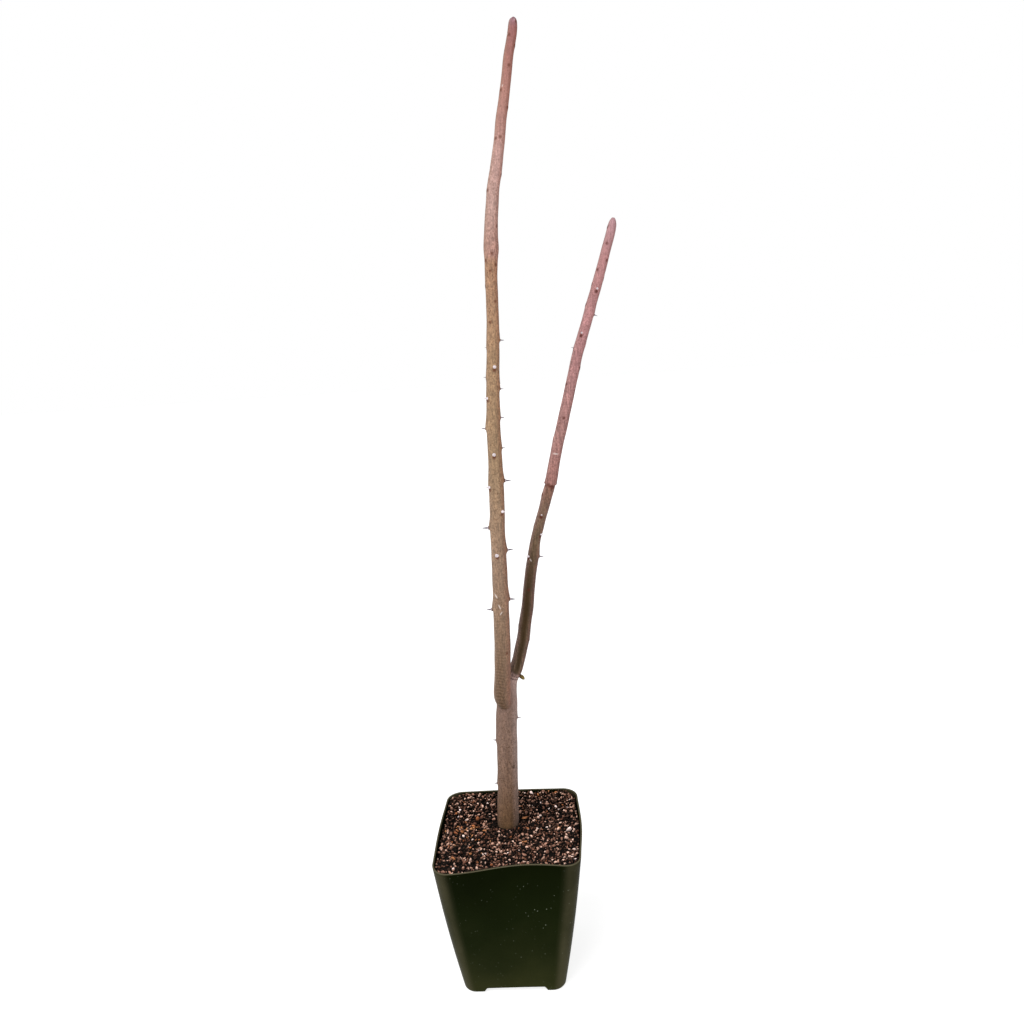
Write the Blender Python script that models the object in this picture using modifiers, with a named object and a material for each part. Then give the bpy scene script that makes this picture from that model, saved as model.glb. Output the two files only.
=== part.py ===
"""Potted alluaudia: a square nursery pot of grit with a cutting and its two thorny shoots.

The table is at z = 0, +X is right and +Y is away from the front wall. Lengths are in metres.
"""

import math
import random

import bmesh
import bpy
from mathutils import Matrix, Vector, noise

MM = 0.001
GAP = 0.3 * MM

# The pot, a thin square shell that tapers to four corner feet.
POT_HEIGHT = 91 * MM
RIM_SIDE = 88 * MM
BASE_SIDE = 63 * MM
RIM_CORNER = 10 * MM
BASE_CORNER = 8 * MM
WALL = 1 * MM
SIDE_SWELL = 0.7 * MM
# The hand-soft walls: the base sits a little to the left and front of the rim, and the walls bow.
BASE_SHIFT = Vector((-1.0 * MM, -1.2 * MM))
FRONT_DENT = 3.9 * MM
FRONT_WAVE = 1.7 * MM
FRONT_SKEW = 1.8 * MM
BACK_BOW = 0.8 * MM
LEFT_BOW = 1.0 * MM
RIGHT_BOW = 1.9 * MM
FOOT_HEIGHT = 3.5 * MM
FOOT_SPAN = 11 * MM
FOOT_SLOPE = 3.2 * MM
FLOOR = 1.4 * MM
DRAIN_RADIUS = 4 * MM
DRAIN_SPACING = 16 * MM
# The rounding under the feet, as (height, inset), and the heights at which the walls are drawn, in millimetres.
FOOT_ROUNDING = ((0.0, 1.1), (0.5, 0.4), (1.3, 0.0))
POT_LEVELS = (16, 34, 54, 74)
# Segments of a corner and of a side, on the pot and on the soil.
POT_STEPS = (4, 6)
SOIL_STEPS = (5, 19)

# The soil, filled to just under the rim round the trunk.
SOIL_TOP = 86.6 * MM
SOIL_SLOPE = 0.022
SOIL_RINGS = 18
GRAIN_SPACING = 5.5 * MM
GRAIN_RISE = 1.5 * MM
SOIL_ROLL = 0.8 * MM
SOIL_SEED = 11

# The stems, as (x, y, z, diameter) in millimetres from the root end up, with the pot's axis at x = y = 0.
TRUNK_SPINE = (
    (-2.6, 11.6, 34, 12.0),
    (-1.9, 11.6, 60, 13.4),
    (-1.6, 11.6, 82, 13.9),
    (-1.1, 11.6, 95, 13.7),
    (-0.1, 11.6, 111, 13.1),
    (0.8, 11.6, 128, 13.0),
    (1.5, 11.6, 145, 13.2),
    (2.2, 11.7, 160, 13.3),
    (3.5, 12.0, 169, 12.4),
    (4.8, 12.4, 177, 10.2),
    (6.1, 12.7, 183.5, 9.0),
    (7.2, 12.8, 186.5, 8.8),
    (8.4, 12.9, 188.6, 8.7),
)
LEFT_SPINE = (
    (4.6, 10.0, 166, 6.5),
    (2.9, 6.6, 171, 9.6),
    (1.7, 4.8, 178, 10.9),
    (2.2, 4.2, 190, 10.0),
    (3.3, 3.9, 205, 9.9),
    (4.0, 3.5, 222, 9.7),
    (4.6, 3.2, 240, 9.5),
    (5.2, 2.8, 258, 9.2),
    (5.6, 2.4, 278, 8.8),
    (6.4, 2.0, 297, 8.8),
    (6.8, 1.7, 310, 8.8),
    (7.3, 1.4, 327, 8.1),
    (7.7, 1.0, 345, 8.1),
    (8.8, 0.6, 363, 7.6),
    (10.0, 0.3, 380, 7.3),
    (11.0, 0.0, 394, 7.1),
    (11.7, -0.2, 408, 6.9),
    (12.2, -0.5, 423, 6.9),
    (12.7, -0.7, 434, 7.3),
    (13.3, -0.8, 441, 8.4),
    (13.7, -1.0, 448, 7.7),
    (14.6, -1.1, 457, 7.2),
    (16.3, -1.4, 470, 6.8),
    (18.7, -1.6, 481, 6.6),
    (21.3, -1.9, 494, 6.0),
    (23.8, -2.2, 508, 5.8),
    (26.7, -2.5, 522, 5.3),
    (29.3, -2.7, 536, 5.1),
    (31.9, -3.0, 547, 4.9),
    (32.7, -3.1, 551.7, 4.3),
    (33.0, -3.1, 553.4, 2.9),
    (33.1, -3.1, 554.1, 1.2),
)
RIGHT_SPINE = (
    (8.6, 12.9, 188.9, 8.6),
    (10.4, 13.0, 191.9, 8.4),
    (12.2, 13.2, 197, 7.9),
    (13.8, 13.3, 203, 8.0),
    (16.0, 13.5, 211, 7.9),
    (17.5, 13.7, 219, 7.7),
    (19.7, 14.1, 230, 7.4),
    (22.1, 14.5, 246, 7.0),
    (24.9, 15.0, 261, 6.9),
    (27.5, 15.4, 273, 6.1),
    (29.9, 15.6, 281, 6.1),
    (32.5, 15.8, 289, 6.0),
    (35.1, 16.1, 297, 6.3),
    (37.5, 16.4, 304, 6.6),
    (39.4, 16.6, 311, 6.9),
    (42.2, 16.9, 323, 6.6),
    (46.3, 17.4, 338, 6.7),
    (51.7, 18.0, 357, 6.5),
    (57.7, 18.7, 379, 6.2),
    (64.7, 19.3, 400, 6.0),
    (71.8, 20.0, 421, 5.8),
    (78.3, 20.6, 441, 5.3),
    (81.0, 20.8, 450, 5.0),
    (81.9, 21.0, 453.5, 3.9),
    (82.3, 21.1, 455.5, 1.8),
)
HOLE_FLOOR = TRUNK_SPINE[0][2] * MM
TRUNK_STEP = 6 * MM
SHOOT_STEP = 5 * MM
TRUNK_ROUND = 5
LEFT_ROUND = 4
RIGHT_ROUND = 4
COLLAR_HEIGHT = 305.5
COLLAR_RADIUS = 3.9 * MM

# Thorns and leaf scars seen from the front, as (height in millimetres, bearing in degrees): 0 faces the
# front and 90 the right.
LEFT_THORNS = (
    (392, 85), (388, -88), (376, 20), (371, -86), (365, 92), (359, -40), (348, 62), (342, -86),
    (331, 96), (327, 1), (313, 88), (308, -68), (294, 47), (284, -82), (270, 92), (266, -11),
    (240, 84), (234, -82),
)
LEFT_SCARS = (
    (546, -26), (541, 92), (532, 4), (520, -78), (511, 92), (497, 39), (496, -26), (479, 92),
    (471, -78), (454, 92), (438, 4), (435, -50), (433, 51), (428, -8), (421, -78), (413, 32),
    (402, -23), (206, 37),
)
RIGHT_THORNS = (
    (417, 29), (403, 92), (393, -16), (384, -88), (287, 8), (275, 92), (263, -58), (261, 92),
)
RIGHT_SCARS = (
    (442, -13), (433, 56), (427, -34), (423, 92), (420, -88), (408, -74), (387, 92), (374, 66),
    (364, -70), (345, 14), (332, -86), (300, 30), (296, -60), (281, -62), (241, 6), (210, 92),
)
TRUNK_THORNS = ((159, 92), (144, -82), (114, -84))
TRUNK_SCARS = ((125, 40),)
BACK_RISE = 4.5
BACK_SPREAD = 25
THORN_SEED = 5
THORN_SIDES = 5
THORN_TILT = 0.1
LEFT_THORN_LENGTH = 3.4 * MM
RIGHT_THORN_LENGTH = 2.0 * MM
TRUNK_THORN_LENGTH = 2.4 * MM
# One thorn's outline, as (radius, height above the bark) over a thorn of unit length.
THORN_PROFILE = ((0.42, -0.35), (0.22, 0.22), (0.05, 1.0))
SCAR_PROFILE = ((0.9 * MM, -0.8 * MM), (0.8 * MM, 0.3 * MM), (0.25 * MM, 0.5 * MM))

# The little leaf at the foot of the right shoot.
LEAF_START = Vector((12.5 * MM, 12.3 * MM, 186.1 * MM))
LEAF_LENGTH = 4.3 * MM
LEAF_WIDTH = 2.2 * MM
LEAF_THICKNESS = 1.5 * MM
LEAF_DROOP = math.radians(38)


def clear_scene():
    for old in list(bpy.data.objects):
        bpy.data.objects.remove(old, do_unlink=True)


def new_collection(name):
    collection = bpy.data.collections.new(name)
    bpy.context.scene.collection.children.link(collection)
    return collection


def material(name, colour, roughness, metallic=0.0):
    made = bpy.data.materials.new(name)
    made.use_nodes = True
    shader = made.node_tree.nodes["Principled BSDF"]
    shader.inputs["Base Color"].default_value = (*colour, 1.0)
    shader.inputs["Roughness"].default_value = roughness
    shader.inputs["Metallic"].default_value = metallic
    return made


def add_object(name, mesh, collection):
    made = bpy.data.objects.new(name, mesh)
    collection.objects.link(made)
    return made


def finish_mesh(bm, name):
    mesh = bpy.data.meshes.new(name)
    bm.to_mesh(mesh)
    bm.free()
    return mesh


def evaluated_mesh(source):
    bpy.context.view_layer.update()
    depsgraph = bpy.context.evaluated_depsgraph_get()
    return bpy.data.meshes.new_from_object(source.evaluated_get(depsgraph))


def apply_modifiers(target):
    """Replace the object's mesh with what its modifiers make of it."""
    result = evaluated_mesh(target)
    target.modifiers.clear()
    target.data = result


def blend(start, end, share):
    return start + (end - start) * share


def bridge_rings(bm, rings):
    """Join each ring of vertices to the next with quads."""
    for lower, upper in zip(rings, rings[1:]):
        count = len(lower)
        for k in range(count):
            after = (k + 1) % count
            bm.faces.new((lower[k], lower[after], upper[after], upper[k]))


def pot_outline(height, inset=0.0, steps=POT_STEPS):
    """The pot's outer outline at a height, as points that run anticlockwise, moved in by the inset."""
    corner_steps, side_steps = steps
    share = height / POT_HEIGHT
    half = blend(BASE_SIDE, RIM_SIDE, share) / 2 + SIDE_SWELL * math.sin(math.pi * share) - inset
    corner = max(blend(BASE_CORNER, RIM_CORNER, share) - inset, 1 * MM)
    flat = half - corner
    points = []
    for quarter in range(4):
        turn = Matrix.Rotation(quarter * math.pi / 2, 2)
        for step in range(corner_steps + 1):
            angle = math.pi / 2 * step / corner_steps
            points.append(turn @ Vector((flat + corner * math.cos(angle), flat + corner * math.sin(angle))))
        for step in range(1, side_steps):
            points.append(turn @ Vector((blend(flat, -flat, step / side_steps), half)))
    return [bowed(point, half, share) for point in points]


def bowed(point, half, share):
    """A wall point with the bows of the soft walls, which fade out towards the shifted base."""
    across = max(-1.0, min(1.0, point.x / half))
    along = max(-1.0, min(1.0, point.y / half))
    soft = 1 - (1 - share) ** 2
    swell_x = math.cos(math.pi * across / 2) ** 2
    swell_y = math.cos(math.pi * along / 2) ** 2
    dent = FRONT_DENT * swell_x + FRONT_WAVE * math.sin(math.pi * across) + FRONT_SKEW * across
    shift_y = dent * max(-along, 0.0) * share + BACK_BOW * swell_x * max(along, 0.0) * soft
    shift_x = RIGHT_BOW * swell_y * max(across, 0.0) - LEFT_BOW * swell_y * max(-across, 0.0)
    return point + Vector((shift_x * soft, shift_y)) + BASE_SHIFT * (1 - share)


def outline_ring(bm, height, inset=0.0, steps=POT_STEPS):
    return [bm.verts.new((p.x, p.y, height)) for p in pot_outline(height, inset, steps)]


def pot_body():
    """The shell with a thick base, before the feet are cut: up the outside, over the rim and down inside."""
    bm = bmesh.new()
    rings = [outline_ring(bm, height * MM, inset * MM) for height, inset in FOOT_ROUNDING]
    rings += [outline_ring(bm, height * MM) for height in POT_LEVELS]
    rings.append(outline_ring(bm, POT_HEIGHT))
    rings.append(outline_ring(bm, POT_HEIGHT, WALL))
    rings += [outline_ring(bm, height * MM, WALL) for height in reversed(POT_LEVELS)]
    rings.append(outline_ring(bm, FOOT_HEIGHT + FLOOR, WALL))
    bridge_rings(bm, rings)
    bm.faces.new(list(reversed(rings[0])))
    bm.faces.new(rings[-1])
    return finish_mesh(bm, "pot")


def foot_arch(cutters, turn):
    """The gap under one pair of walls: a long bar whose ends rise in a slope beside each foot."""
    half = BASE_SIDE / 2 - FOOT_SPAN
    profile = [(-half, -FOOT_HEIGHT), (half, -FOOT_HEIGHT)]
    steps = 5
    for step in range(steps + 1):
        share = step / steps
        profile.append((half - FOOT_SLOPE * share, FOOT_HEIGHT * math.sin(math.pi / 2 * share)))
    for step in range(steps + 1):
        share = 1 - step / steps
        profile.append((-half + FOOT_SLOPE * share, FOOT_HEIGHT * math.sin(math.pi / 2 * share)))
    bm = bmesh.new()
    near = [bm.verts.new((x, -BASE_SIDE, z)) for x, z in profile]
    far = [bm.verts.new((x, BASE_SIDE, z)) for x, z in profile]
    bridge_rings(bm, [near, far])
    bm.faces.new(list(reversed(near)))
    bm.faces.new(far)
    bmesh.ops.recalc_face_normals(bm, faces=bm.faces)
    bmesh.ops.rotate(bm, cent=(0, 0, 0), matrix=Matrix.Rotation(turn, 3, "Z"), verts=bm.verts)
    return add_object("foot_gap", finish_mesh(bm, "foot_gap"), cutters)


def drain_hole(cutters, x, y):
    bm = bmesh.new()
    bmesh.ops.create_cone(bm, cap_ends=True, segments=14, radius1=DRAIN_RADIUS, radius2=DRAIN_RADIUS,
                          depth=FOOT_HEIGHT * 6, matrix=Matrix.Translation((x, y, 0)))
    return add_object("drain_hole", finish_mesh(bm, "drain_hole"), cutters)


def cut(target, cutter):
    modifier = target.modifiers.new("cut", "BOOLEAN")
    modifier.operation = "DIFFERENCE"
    modifier.object = cutter
    cutter.hide_render = True
    cutter.display_type = "WIRE"


def make_pot(parts, cutters):
    pot = add_object("pot", pot_body(), parts)
    pot.data.materials.append(material("pot_plastic", (0.010, 0.026, 0.007), 0.42))
    for turn in (0.0, math.pi / 2):
        cut(pot, foot_arch(cutters, turn))
    spots = [(0.0, 0.0)]
    for k in range(4):
        angle = math.pi / 2 * k
        spots.append((DRAIN_SPACING * math.cos(angle), DRAIN_SPACING * math.sin(angle)))
    for x, y in spots:
        cut(pot, drain_hole(cutters, x, y))
    return pot


def smooth_spine(spine, step):
    """Points on a smooth curve through the spine's own points, about one step apart, in metres."""
    nodes = [Vector(point) * MM for point in spine]
    nodes = [2 * nodes[0] - nodes[1]] + nodes + [2 * nodes[-1] - nodes[-2]]
    points = []
    for before, start, end, after in zip(nodes, nodes[1:], nodes[2:], nodes[3:]):
        count = max(1, round((end.xyz - start.xyz).length / step))
        for k in range(count):
            t = k / count
            points.append(0.5 * (2 * start + (end - before) * t
                                 + (2 * before - 5 * start + 4 * end - after) * t ** 2
                                 + (3 * start - before - 3 * end + after) * t ** 3))
    points.append(nodes[-2])
    return points


def tube(name, points, roundness, collection, extra=0.0):
    """A tapered tube along the points, each with its diameter, as a closed mesh."""
    curve = bpy.data.curves.new(name, "CURVE")
    curve.dimensions = "3D"
    curve.bevel_depth = 1.0
    curve.bevel_resolution = roundness
    curve.use_fill_caps = True
    spline = curve.splines.new("POLY")
    spline.points.add(len(points) - 1)
    for place, point in zip(spline.points, points):
        place.co = (*point.xyz, 1.0)
        place.radius = point.w / 2 + extra
    drawn = add_object(name + "_curve", curve, collection)
    mesh = evaluated_mesh(drawn)
    bpy.data.objects.remove(drawn)
    bm = bmesh.new()
    bm.from_mesh(mesh)
    bmesh.ops.remove_doubles(bm, verts=bm.verts, dist=0.01 * MM)
    bmesh.ops.recalc_face_normals(bm, faces=bm.faces)
    bm.to_mesh(mesh)
    bm.free()
    return add_object(name, mesh, collection)


def turned(name, profile, sides):
    """A small solid turned round Z from (radius, height) points, closed at both ends."""
    bm = bmesh.new()
    rings = []
    for radius, height in profile:
        rings.append([bm.verts.new((radius * math.cos(math.tau * k / sides),
                                    radius * math.sin(math.tau * k / sides), height)) for k in range(sides)])
    bridge_rings(bm, rings)
    bm.faces.new(list(reversed(rings[0])))
    bm.faces.new(rings[-1])
    return finish_mesh(bm, name)


def spine_at(points, height):
    """The spine's centre, radius and direction at a height."""
    for low, high in zip(points, points[1:]):
        if low.z <= height <= high.z:
            share = (height - low.z) / (high.z - low.z)
            place = low.lerp(high, share)
            return place.xyz, place.w / 2, (high.xyz - low.xyz).normalized()
    raise ValueError("no such height on the stem")


def outward(direction, bearing, tilt):
    """The way off the bark at a bearing, square to the stem and then tipped up by the tilt."""
    angle = math.radians(bearing)
    way = Vector((math.sin(angle), -math.cos(angle), 0))
    way = (way - direction * way.dot(direction)).normalized()
    return (way + direction * tilt).normalized()


def plant_on(points, mesh, marks, tilt, collection):
    """Stand a copy of the mesh on the bark at each mark."""
    for height, bearing in marks:
        centre, radius, direction = spine_at(points, height * MM)
        way = outward(direction, bearing, tilt)
        made = add_object(mesh.name, mesh, collection)
        made.matrix_world = Matrix.LocRotScale(centre + way * radius * 0.97, way.to_track_quat("Z", "Y"), None)


def with_back(marks, lowest, highest, draw):
    """The marks of the front, and on the hidden side one more for each, a little higher and opposite."""
    hidden = []
    for height, bearing in marks:
        turned_to = bearing + 180 + draw.uniform(-BACK_SPREAD, BACK_SPREAD)
        raised = height + BACK_RISE + draw.uniform(-1, 1)
        if abs(bearing) < 75 and lowest < raised < highest:
            hidden.append((raised, turned_to))
    return tuple(marks) + tuple(hidden)


def fuse(target, repeats):
    """Join everything in the collection to the target in one union, and clear the collection away."""
    modifier = target.modifiers.new("fuse", "BOOLEAN")
    modifier.operation = "UNION"
    modifier.operand_type = "COLLECTION"
    modifier.collection = repeats
    apply_modifiers(target)
    for old in list(repeats.objects):
        bpy.data.objects.remove(old)
    bpy.data.collections.remove(repeats)


def thorn_mesh(length):
    return turned("thorn", [(radius * length, height * length) for radius, height in THORN_PROFILE], THORN_SIDES)


def add_thorns(stem, points, thorns, scars, length):
    repeats = new_collection("thorns")
    plant_on(points, thorn_mesh(length), thorns, THORN_TILT, repeats)
    plant_on(points, turned("scar", SCAR_PROFILE, THORN_SIDES), scars, 0.0, repeats)
    fuse(stem, repeats)


def make_trunk(parts):
    points = smooth_spine(TRUNK_SPINE, TRUNK_STEP)
    trunk = tube("trunk", points, TRUNK_ROUND, parts)
    add_thorns(trunk, points, TRUNK_THORNS, TRUNK_SCARS, TRUNK_THORN_LENGTH)
    trunk.data.materials.append(material("old_bark", (0.24, 0.16, 0.13), 0.7))
    return trunk


def make_left_shoot(parts, cutters, draw):
    points = smooth_spine(LEFT_SPINE, SHOOT_STEP)
    shoot = tube("left_shoot", points, LEFT_ROUND, parts)
    thorns = with_back(LEFT_THORNS, 225, 396, draw)
    scars = with_back(LEFT_SCARS, 200, 545, draw)
    add_thorns(shoot, points, thorns, scars, LEFT_THORN_LENGTH)
    seat = tube("left_seat", smooth_spine(TRUNK_SPINE, TRUNK_STEP), TRUNK_ROUND, cutters, GAP)
    cut(shoot, seat)
    shoot.data.materials.append(material("young_bark", (0.33, 0.20, 0.13), 0.55))
    return shoot


def make_right_shoot(parts, draw):
    points = smooth_spine(RIGHT_SPINE, SHOOT_STEP)
    shoot = tube("right_shoot", points, RIGHT_ROUND, parts)
    thorns = with_back(RIGHT_THORNS, 225, 425, draw)
    scars = with_back(RIGHT_SCARS, 205, 445, draw)
    collar = new_collection("collar")
    centre, radius, direction = spine_at(points, COLLAR_HEIGHT * MM)
    skirt = add_object("skirt", turned("skirt", ((COLLAR_RADIUS, -1.2 * MM), (COLLAR_RADIUS, 0.0),
                                                 (radius * 0.9, 5 * MM)), 12), collar)
    skirt.matrix_world = Matrix.LocRotScale(centre, direction.to_track_quat("Z", "Y"), None)
    fuse(shoot, collar)
    add_thorns(shoot, points, thorns, scars, RIGHT_THORN_LENGTH)
    shoot.data.materials.append(material("pink_bark", (0.42, 0.20, 0.19), 0.5))
    return shoot


def make_leaf(parts):
    """A short thick leaf that droops from the seam between trunk and shoot."""
    bm = bmesh.new()
    bmesh.ops.create_cube(bm, size=1.0)
    bmesh.ops.scale(bm, vec=(LEAF_LENGTH * 1.25, LEAF_WIDTH * 1.25, LEAF_THICKNESS * 1.25), verts=bm.verts)
    leaf = add_object("leaf", finish_mesh(bm, "leaf"), parts)
    rounding = leaf.modifiers.new("rounding", "SUBSURF")
    rounding.levels = 2
    rounding.render_levels = 2
    turn = Matrix.Rotation(LEAF_DROOP, 4, "Y")
    leaf.matrix_world = Matrix.Translation(LEAF_START) @ turn @ Matrix.Translation((LEAF_LENGTH / 2, 0, 0))
    leaf.data.materials.append(material("dry_leaf", (0.30, 0.22, 0.04), 0.6))
    return leaf


def grain_rise(x, y):
    """How far the grit stands up at a place: a dome on each of the scattered grains."""
    place = Vector((x / GRAIN_SPACING, y / GRAIN_SPACING, SOIL_SEED))
    near = noise.voronoi(place, distance_metric="DISTANCE")[0][0]
    return GRAIN_RISE * math.sqrt(max(0.0, 1 - (near / 0.75) ** 2))


def soil_height(x, y):
    roll = noise.noise(Vector((x / (22 * MM), y / (22 * MM), SOIL_SEED))) * SOIL_ROLL
    return SOIL_TOP - SOIL_SLOPE * y + roll


def trunk_ring(points, height, wall):
    """Points round the trunk at a height, a gap off its bark, each in the direction of a wall point."""
    centre, radius, _ = spine_at(points, height)
    ring = []
    for point in wall:
        way = Vector((point.x - centre.x, point.y - centre.y)).normalized()
        ring.append(centre.xy + way * (radius + GAP))
    return ring


def soil_mesh(points):
    """Wall, grain-covered top and the trunk's plain hole, as rings from the bottom round to the hole's floor."""
    bm = bmesh.new()
    inset = WALL + GAP
    rings = [outline_ring(bm, FOOT_HEIGHT + FLOOR + GAP, inset, SOIL_STEPS)]
    rings += [outline_ring(bm, height * MM, inset, SOIL_STEPS) for height in POT_LEVELS]
    top_wall = pot_outline(SOIL_TOP, inset, SOIL_STEPS)
    hole = trunk_ring(points, SOIL_TOP, top_wall)
    for k in range(SOIL_RINGS + 1):
        share = k / SOIL_RINGS
        ring = []
        for outer, inner in zip(top_wall, hole):
            place = outer.lerp(inner, share)
            rise = grain_rise(place.x, place.y) if 0 < k < SOIL_RINGS else 0.0
            ring.append(bm.verts.new((place.x, place.y, soil_height(place.x, place.y) + rise)))
        rings.append(ring)
    for height in (68 * MM, 50 * MM, HOLE_FLOOR + GAP):
        rings.append([bm.verts.new((p.x, p.y, height)) for p in trunk_ring(points, height, top_wall)])
    rings.append([bm.verts.new((vertex.co.x, vertex.co.y, HOLE_FLOOR - GAP)) for vertex in rings[-1]])
    bridge_rings(bm, rings)
    bm.faces.new(list(reversed(rings[0])))
    bm.faces.new(rings[-1])
    return finish_mesh(bm, "soil")


def make_soil(parts):
    soil = add_object("soil", soil_mesh(smooth_spine(TRUNK_SPINE, TRUNK_STEP)), parts)
    soil.data.materials.append(material("grit", (0.10, 0.06, 0.04), 0.95))
    return soil


def centre_on_table(parts, cutters):
    """Hang everything from one empty, so that the middle of the whole plant's box stands over the origin."""
    bpy.context.view_layer.update()
    depsgraph = bpy.context.evaluated_depsgraph_get()
    corners = []
    for part in parts.objects:
        shape = part.evaluated_get(depsgraph)
        corners += [shape.matrix_world @ Vector(corner) for corner in shape.bound_box]
    middle_x = (min(c.x for c in corners) + max(c.x for c in corners)) / 2
    middle_y = (min(c.y for c in corners) + max(c.y for c in corners)) / 2
    stand = bpy.data.objects.new("stand", None)
    bpy.context.scene.collection.objects.link(stand)
    stand.location = (-middle_x, -middle_y, 0.0)
    for piece in [*parts.objects, *cutters.objects]:
        piece.parent = stand
    return stand


def main():
    clear_scene()
    parts = new_collection("potted_alluaudia")
    cutters = new_collection("cutters")
    draw = random.Random(THORN_SEED)
    make_pot(parts, cutters)
    make_soil(parts)
    make_trunk(parts)
    make_left_shoot(parts, cutters, draw)
    make_right_shoot(parts, draw)
    make_leaf(parts)
    centre_on_table(parts, cutters)


main()
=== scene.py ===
# %% [markdown]
# # A potted alluaudia
# A young alluaudia is a cutting of a leafless, thorny succulent. Here a stout old trunk stands in a square
# nursery pot of grit and carries two slim shoots. The solid model gives every piece its size and place.
# This notebook makes the surfaces that the eye sees: bark with its thorns and scars, the grit, the pot.

# %% Load the solid model as a fixed frame
import math
import random

import bmesh
import bpy
import numpy as np
from mathutils import Matrix, Vector
from mathutils.bvhtree import BVHTree


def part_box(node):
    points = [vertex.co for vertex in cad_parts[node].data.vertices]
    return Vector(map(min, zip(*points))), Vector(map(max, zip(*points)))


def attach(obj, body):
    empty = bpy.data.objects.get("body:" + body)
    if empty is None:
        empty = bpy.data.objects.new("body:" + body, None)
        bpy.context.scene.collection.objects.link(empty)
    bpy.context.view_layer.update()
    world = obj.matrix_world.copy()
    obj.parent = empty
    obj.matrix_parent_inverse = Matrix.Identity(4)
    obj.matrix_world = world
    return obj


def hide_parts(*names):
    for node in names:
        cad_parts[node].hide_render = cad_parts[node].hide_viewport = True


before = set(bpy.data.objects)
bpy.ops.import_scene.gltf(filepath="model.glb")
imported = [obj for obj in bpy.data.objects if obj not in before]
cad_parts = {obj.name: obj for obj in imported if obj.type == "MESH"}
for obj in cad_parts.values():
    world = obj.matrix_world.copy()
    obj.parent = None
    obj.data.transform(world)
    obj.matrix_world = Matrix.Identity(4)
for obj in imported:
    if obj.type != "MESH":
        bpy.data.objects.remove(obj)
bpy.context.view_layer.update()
print("nodes:", sorted(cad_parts))

# %% [markdown]
# ## Units and the pot's own axis
# Plants and pots are measured in millimetres, while the scene is in metres, so the numbers below are in
# millimetres and one function places them. They are measured from the pot's axis on the table. The pot's
# soft walls bow out by different amounts, so its axis isn't the middle of its box: it is found from the
# rim's size and the bows of two of the walls.

# %% The pot's sizes and its axis
MM = 0.001
POT_HEIGHT = 91.0
RIM_SIDE, BASE_SIDE = 88.0, 63.0
RIM_CORNER, BASE_CORNER = 10.0, 8.0
WALL = 1.0
SIDE_SWELL = 0.7
BASE_SHIFT = np.array((-1.0, -1.2))
FRONT_DENT, FRONT_WAVE, FRONT_SKEW = 3.9, 1.7, 1.8
BACK_BOW, LEFT_BOW, RIGHT_BOW = 0.8, 1.0, 1.9

pot_low, pot_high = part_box("pot")
pot_axis = Vector((pot_low.x + (RIM_SIDE / 2 + LEFT_BOW) * MM, pot_high.y - (RIM_SIDE / 2 + BACK_BOW) * MM, 0))
print("pot axis in the frame, mm:", [round(value / MM, 2) for value in pot_axis])


def placed(points):
    """Points in millimetres from the pot's axis, as metres in the frame."""
    return np.asarray(points, float) * MM + np.array(pot_axis)


# %% [markdown]
# ## Meshes from rings
# Stems, thorns and the pot are all rings of points joined by quads, which is what a potter's wheel or a
# sweep makes. Working with whole arrays of points is quicker than moving vertices one by one, and it lets
# a mark on the bark raise the surface and colour it with the same numbers.

# %% Turn points and faces into a mesh object
def ring_faces(levels, around):
    """Quads between neighbouring rings, each ring closed on itself."""
    low = np.arange(levels - 1)[:, None] * around
    k = np.arange(around)[None, :]
    after = (k + 1) % around
    return np.stack([low + k, low + after, low + around + after, low + around + k], -1).reshape(-1, 4)


def mesh_object(name, points, faces, masks=None):
    """A smooth object from points in millimetres, with named numbers stored at its points."""
    mesh = bpy.data.meshes.new(name)
    mesh.from_pydata(placed(points).tolist(), [], faces)
    for mask, values in (masks or {}).items():
        stored = mesh.attributes.new(mask, "FLOAT", "POINT")
        stored.data.foreach_set("value", np.asarray(values, np.float32).ravel())
    mesh.shade_smooth()
    made = bpy.data.objects.new(name, mesh)
    bpy.context.scene.collection.objects.link(made)
    print(name, "faces:", len(mesh.polygons))
    return made


def ring_object(name, rings, masks=None):
    """A closed object from a stack of rings, with a cap at each end."""
    levels, around = rings.shape[:2]
    faces = ring_faces(levels, around).tolist()
    faces.append(list(range(around))[::-1])
    faces.append(list(range((levels - 1) * around, levels * around)))
    return mesh_object(name, rings.reshape(-1, 3), faces, masks)


# %% [markdown]
# ## Materials as small node graphs
# Every finish is a graph of nodes that works from real sizes, so one helper that adds a node with its
# settings and its links is enough. Colours are written as they look on a screen and turned to linear light
# by one function.

# %% One function for colour and one for nodes
def to_linear(hex_colour):
    """An sRGB colour such as "#a5826a", as linear red, green, blue and alpha."""
    parts = [int(hex_colour[k:k + 2], 16) / 255 for k in (1, 3, 5)]
    return [part / 12.92 if part <= 0.04045 else ((part + 0.055) / 1.055) ** 2.4 for part in parts] + [1.0]


def add_node(tree, kind, inputs=None, output=0, stops=(), **settings):
    """Add a node, fill its inputs with links, colours or numbers, and return one of its outputs."""
    node = tree.nodes.new("ShaderNode" + kind)
    for name, value in settings.items():
        setattr(node, name, value)
    for k, (position, colour) in enumerate(stops):
        ramp = node.color_ramp.elements
        element = ramp[k] if k < len(ramp) else ramp.new(position)
        element.position, element.color = position, to_linear(colour)
    for name, value in (inputs or {}).items():
        if isinstance(value, bpy.types.NodeSocket):
            tree.links.new(value, node.inputs[name])
        else:
            node.inputs[name].default_value = to_linear(value) if isinstance(value, str) else value
    return node.outputs[output]


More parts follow.
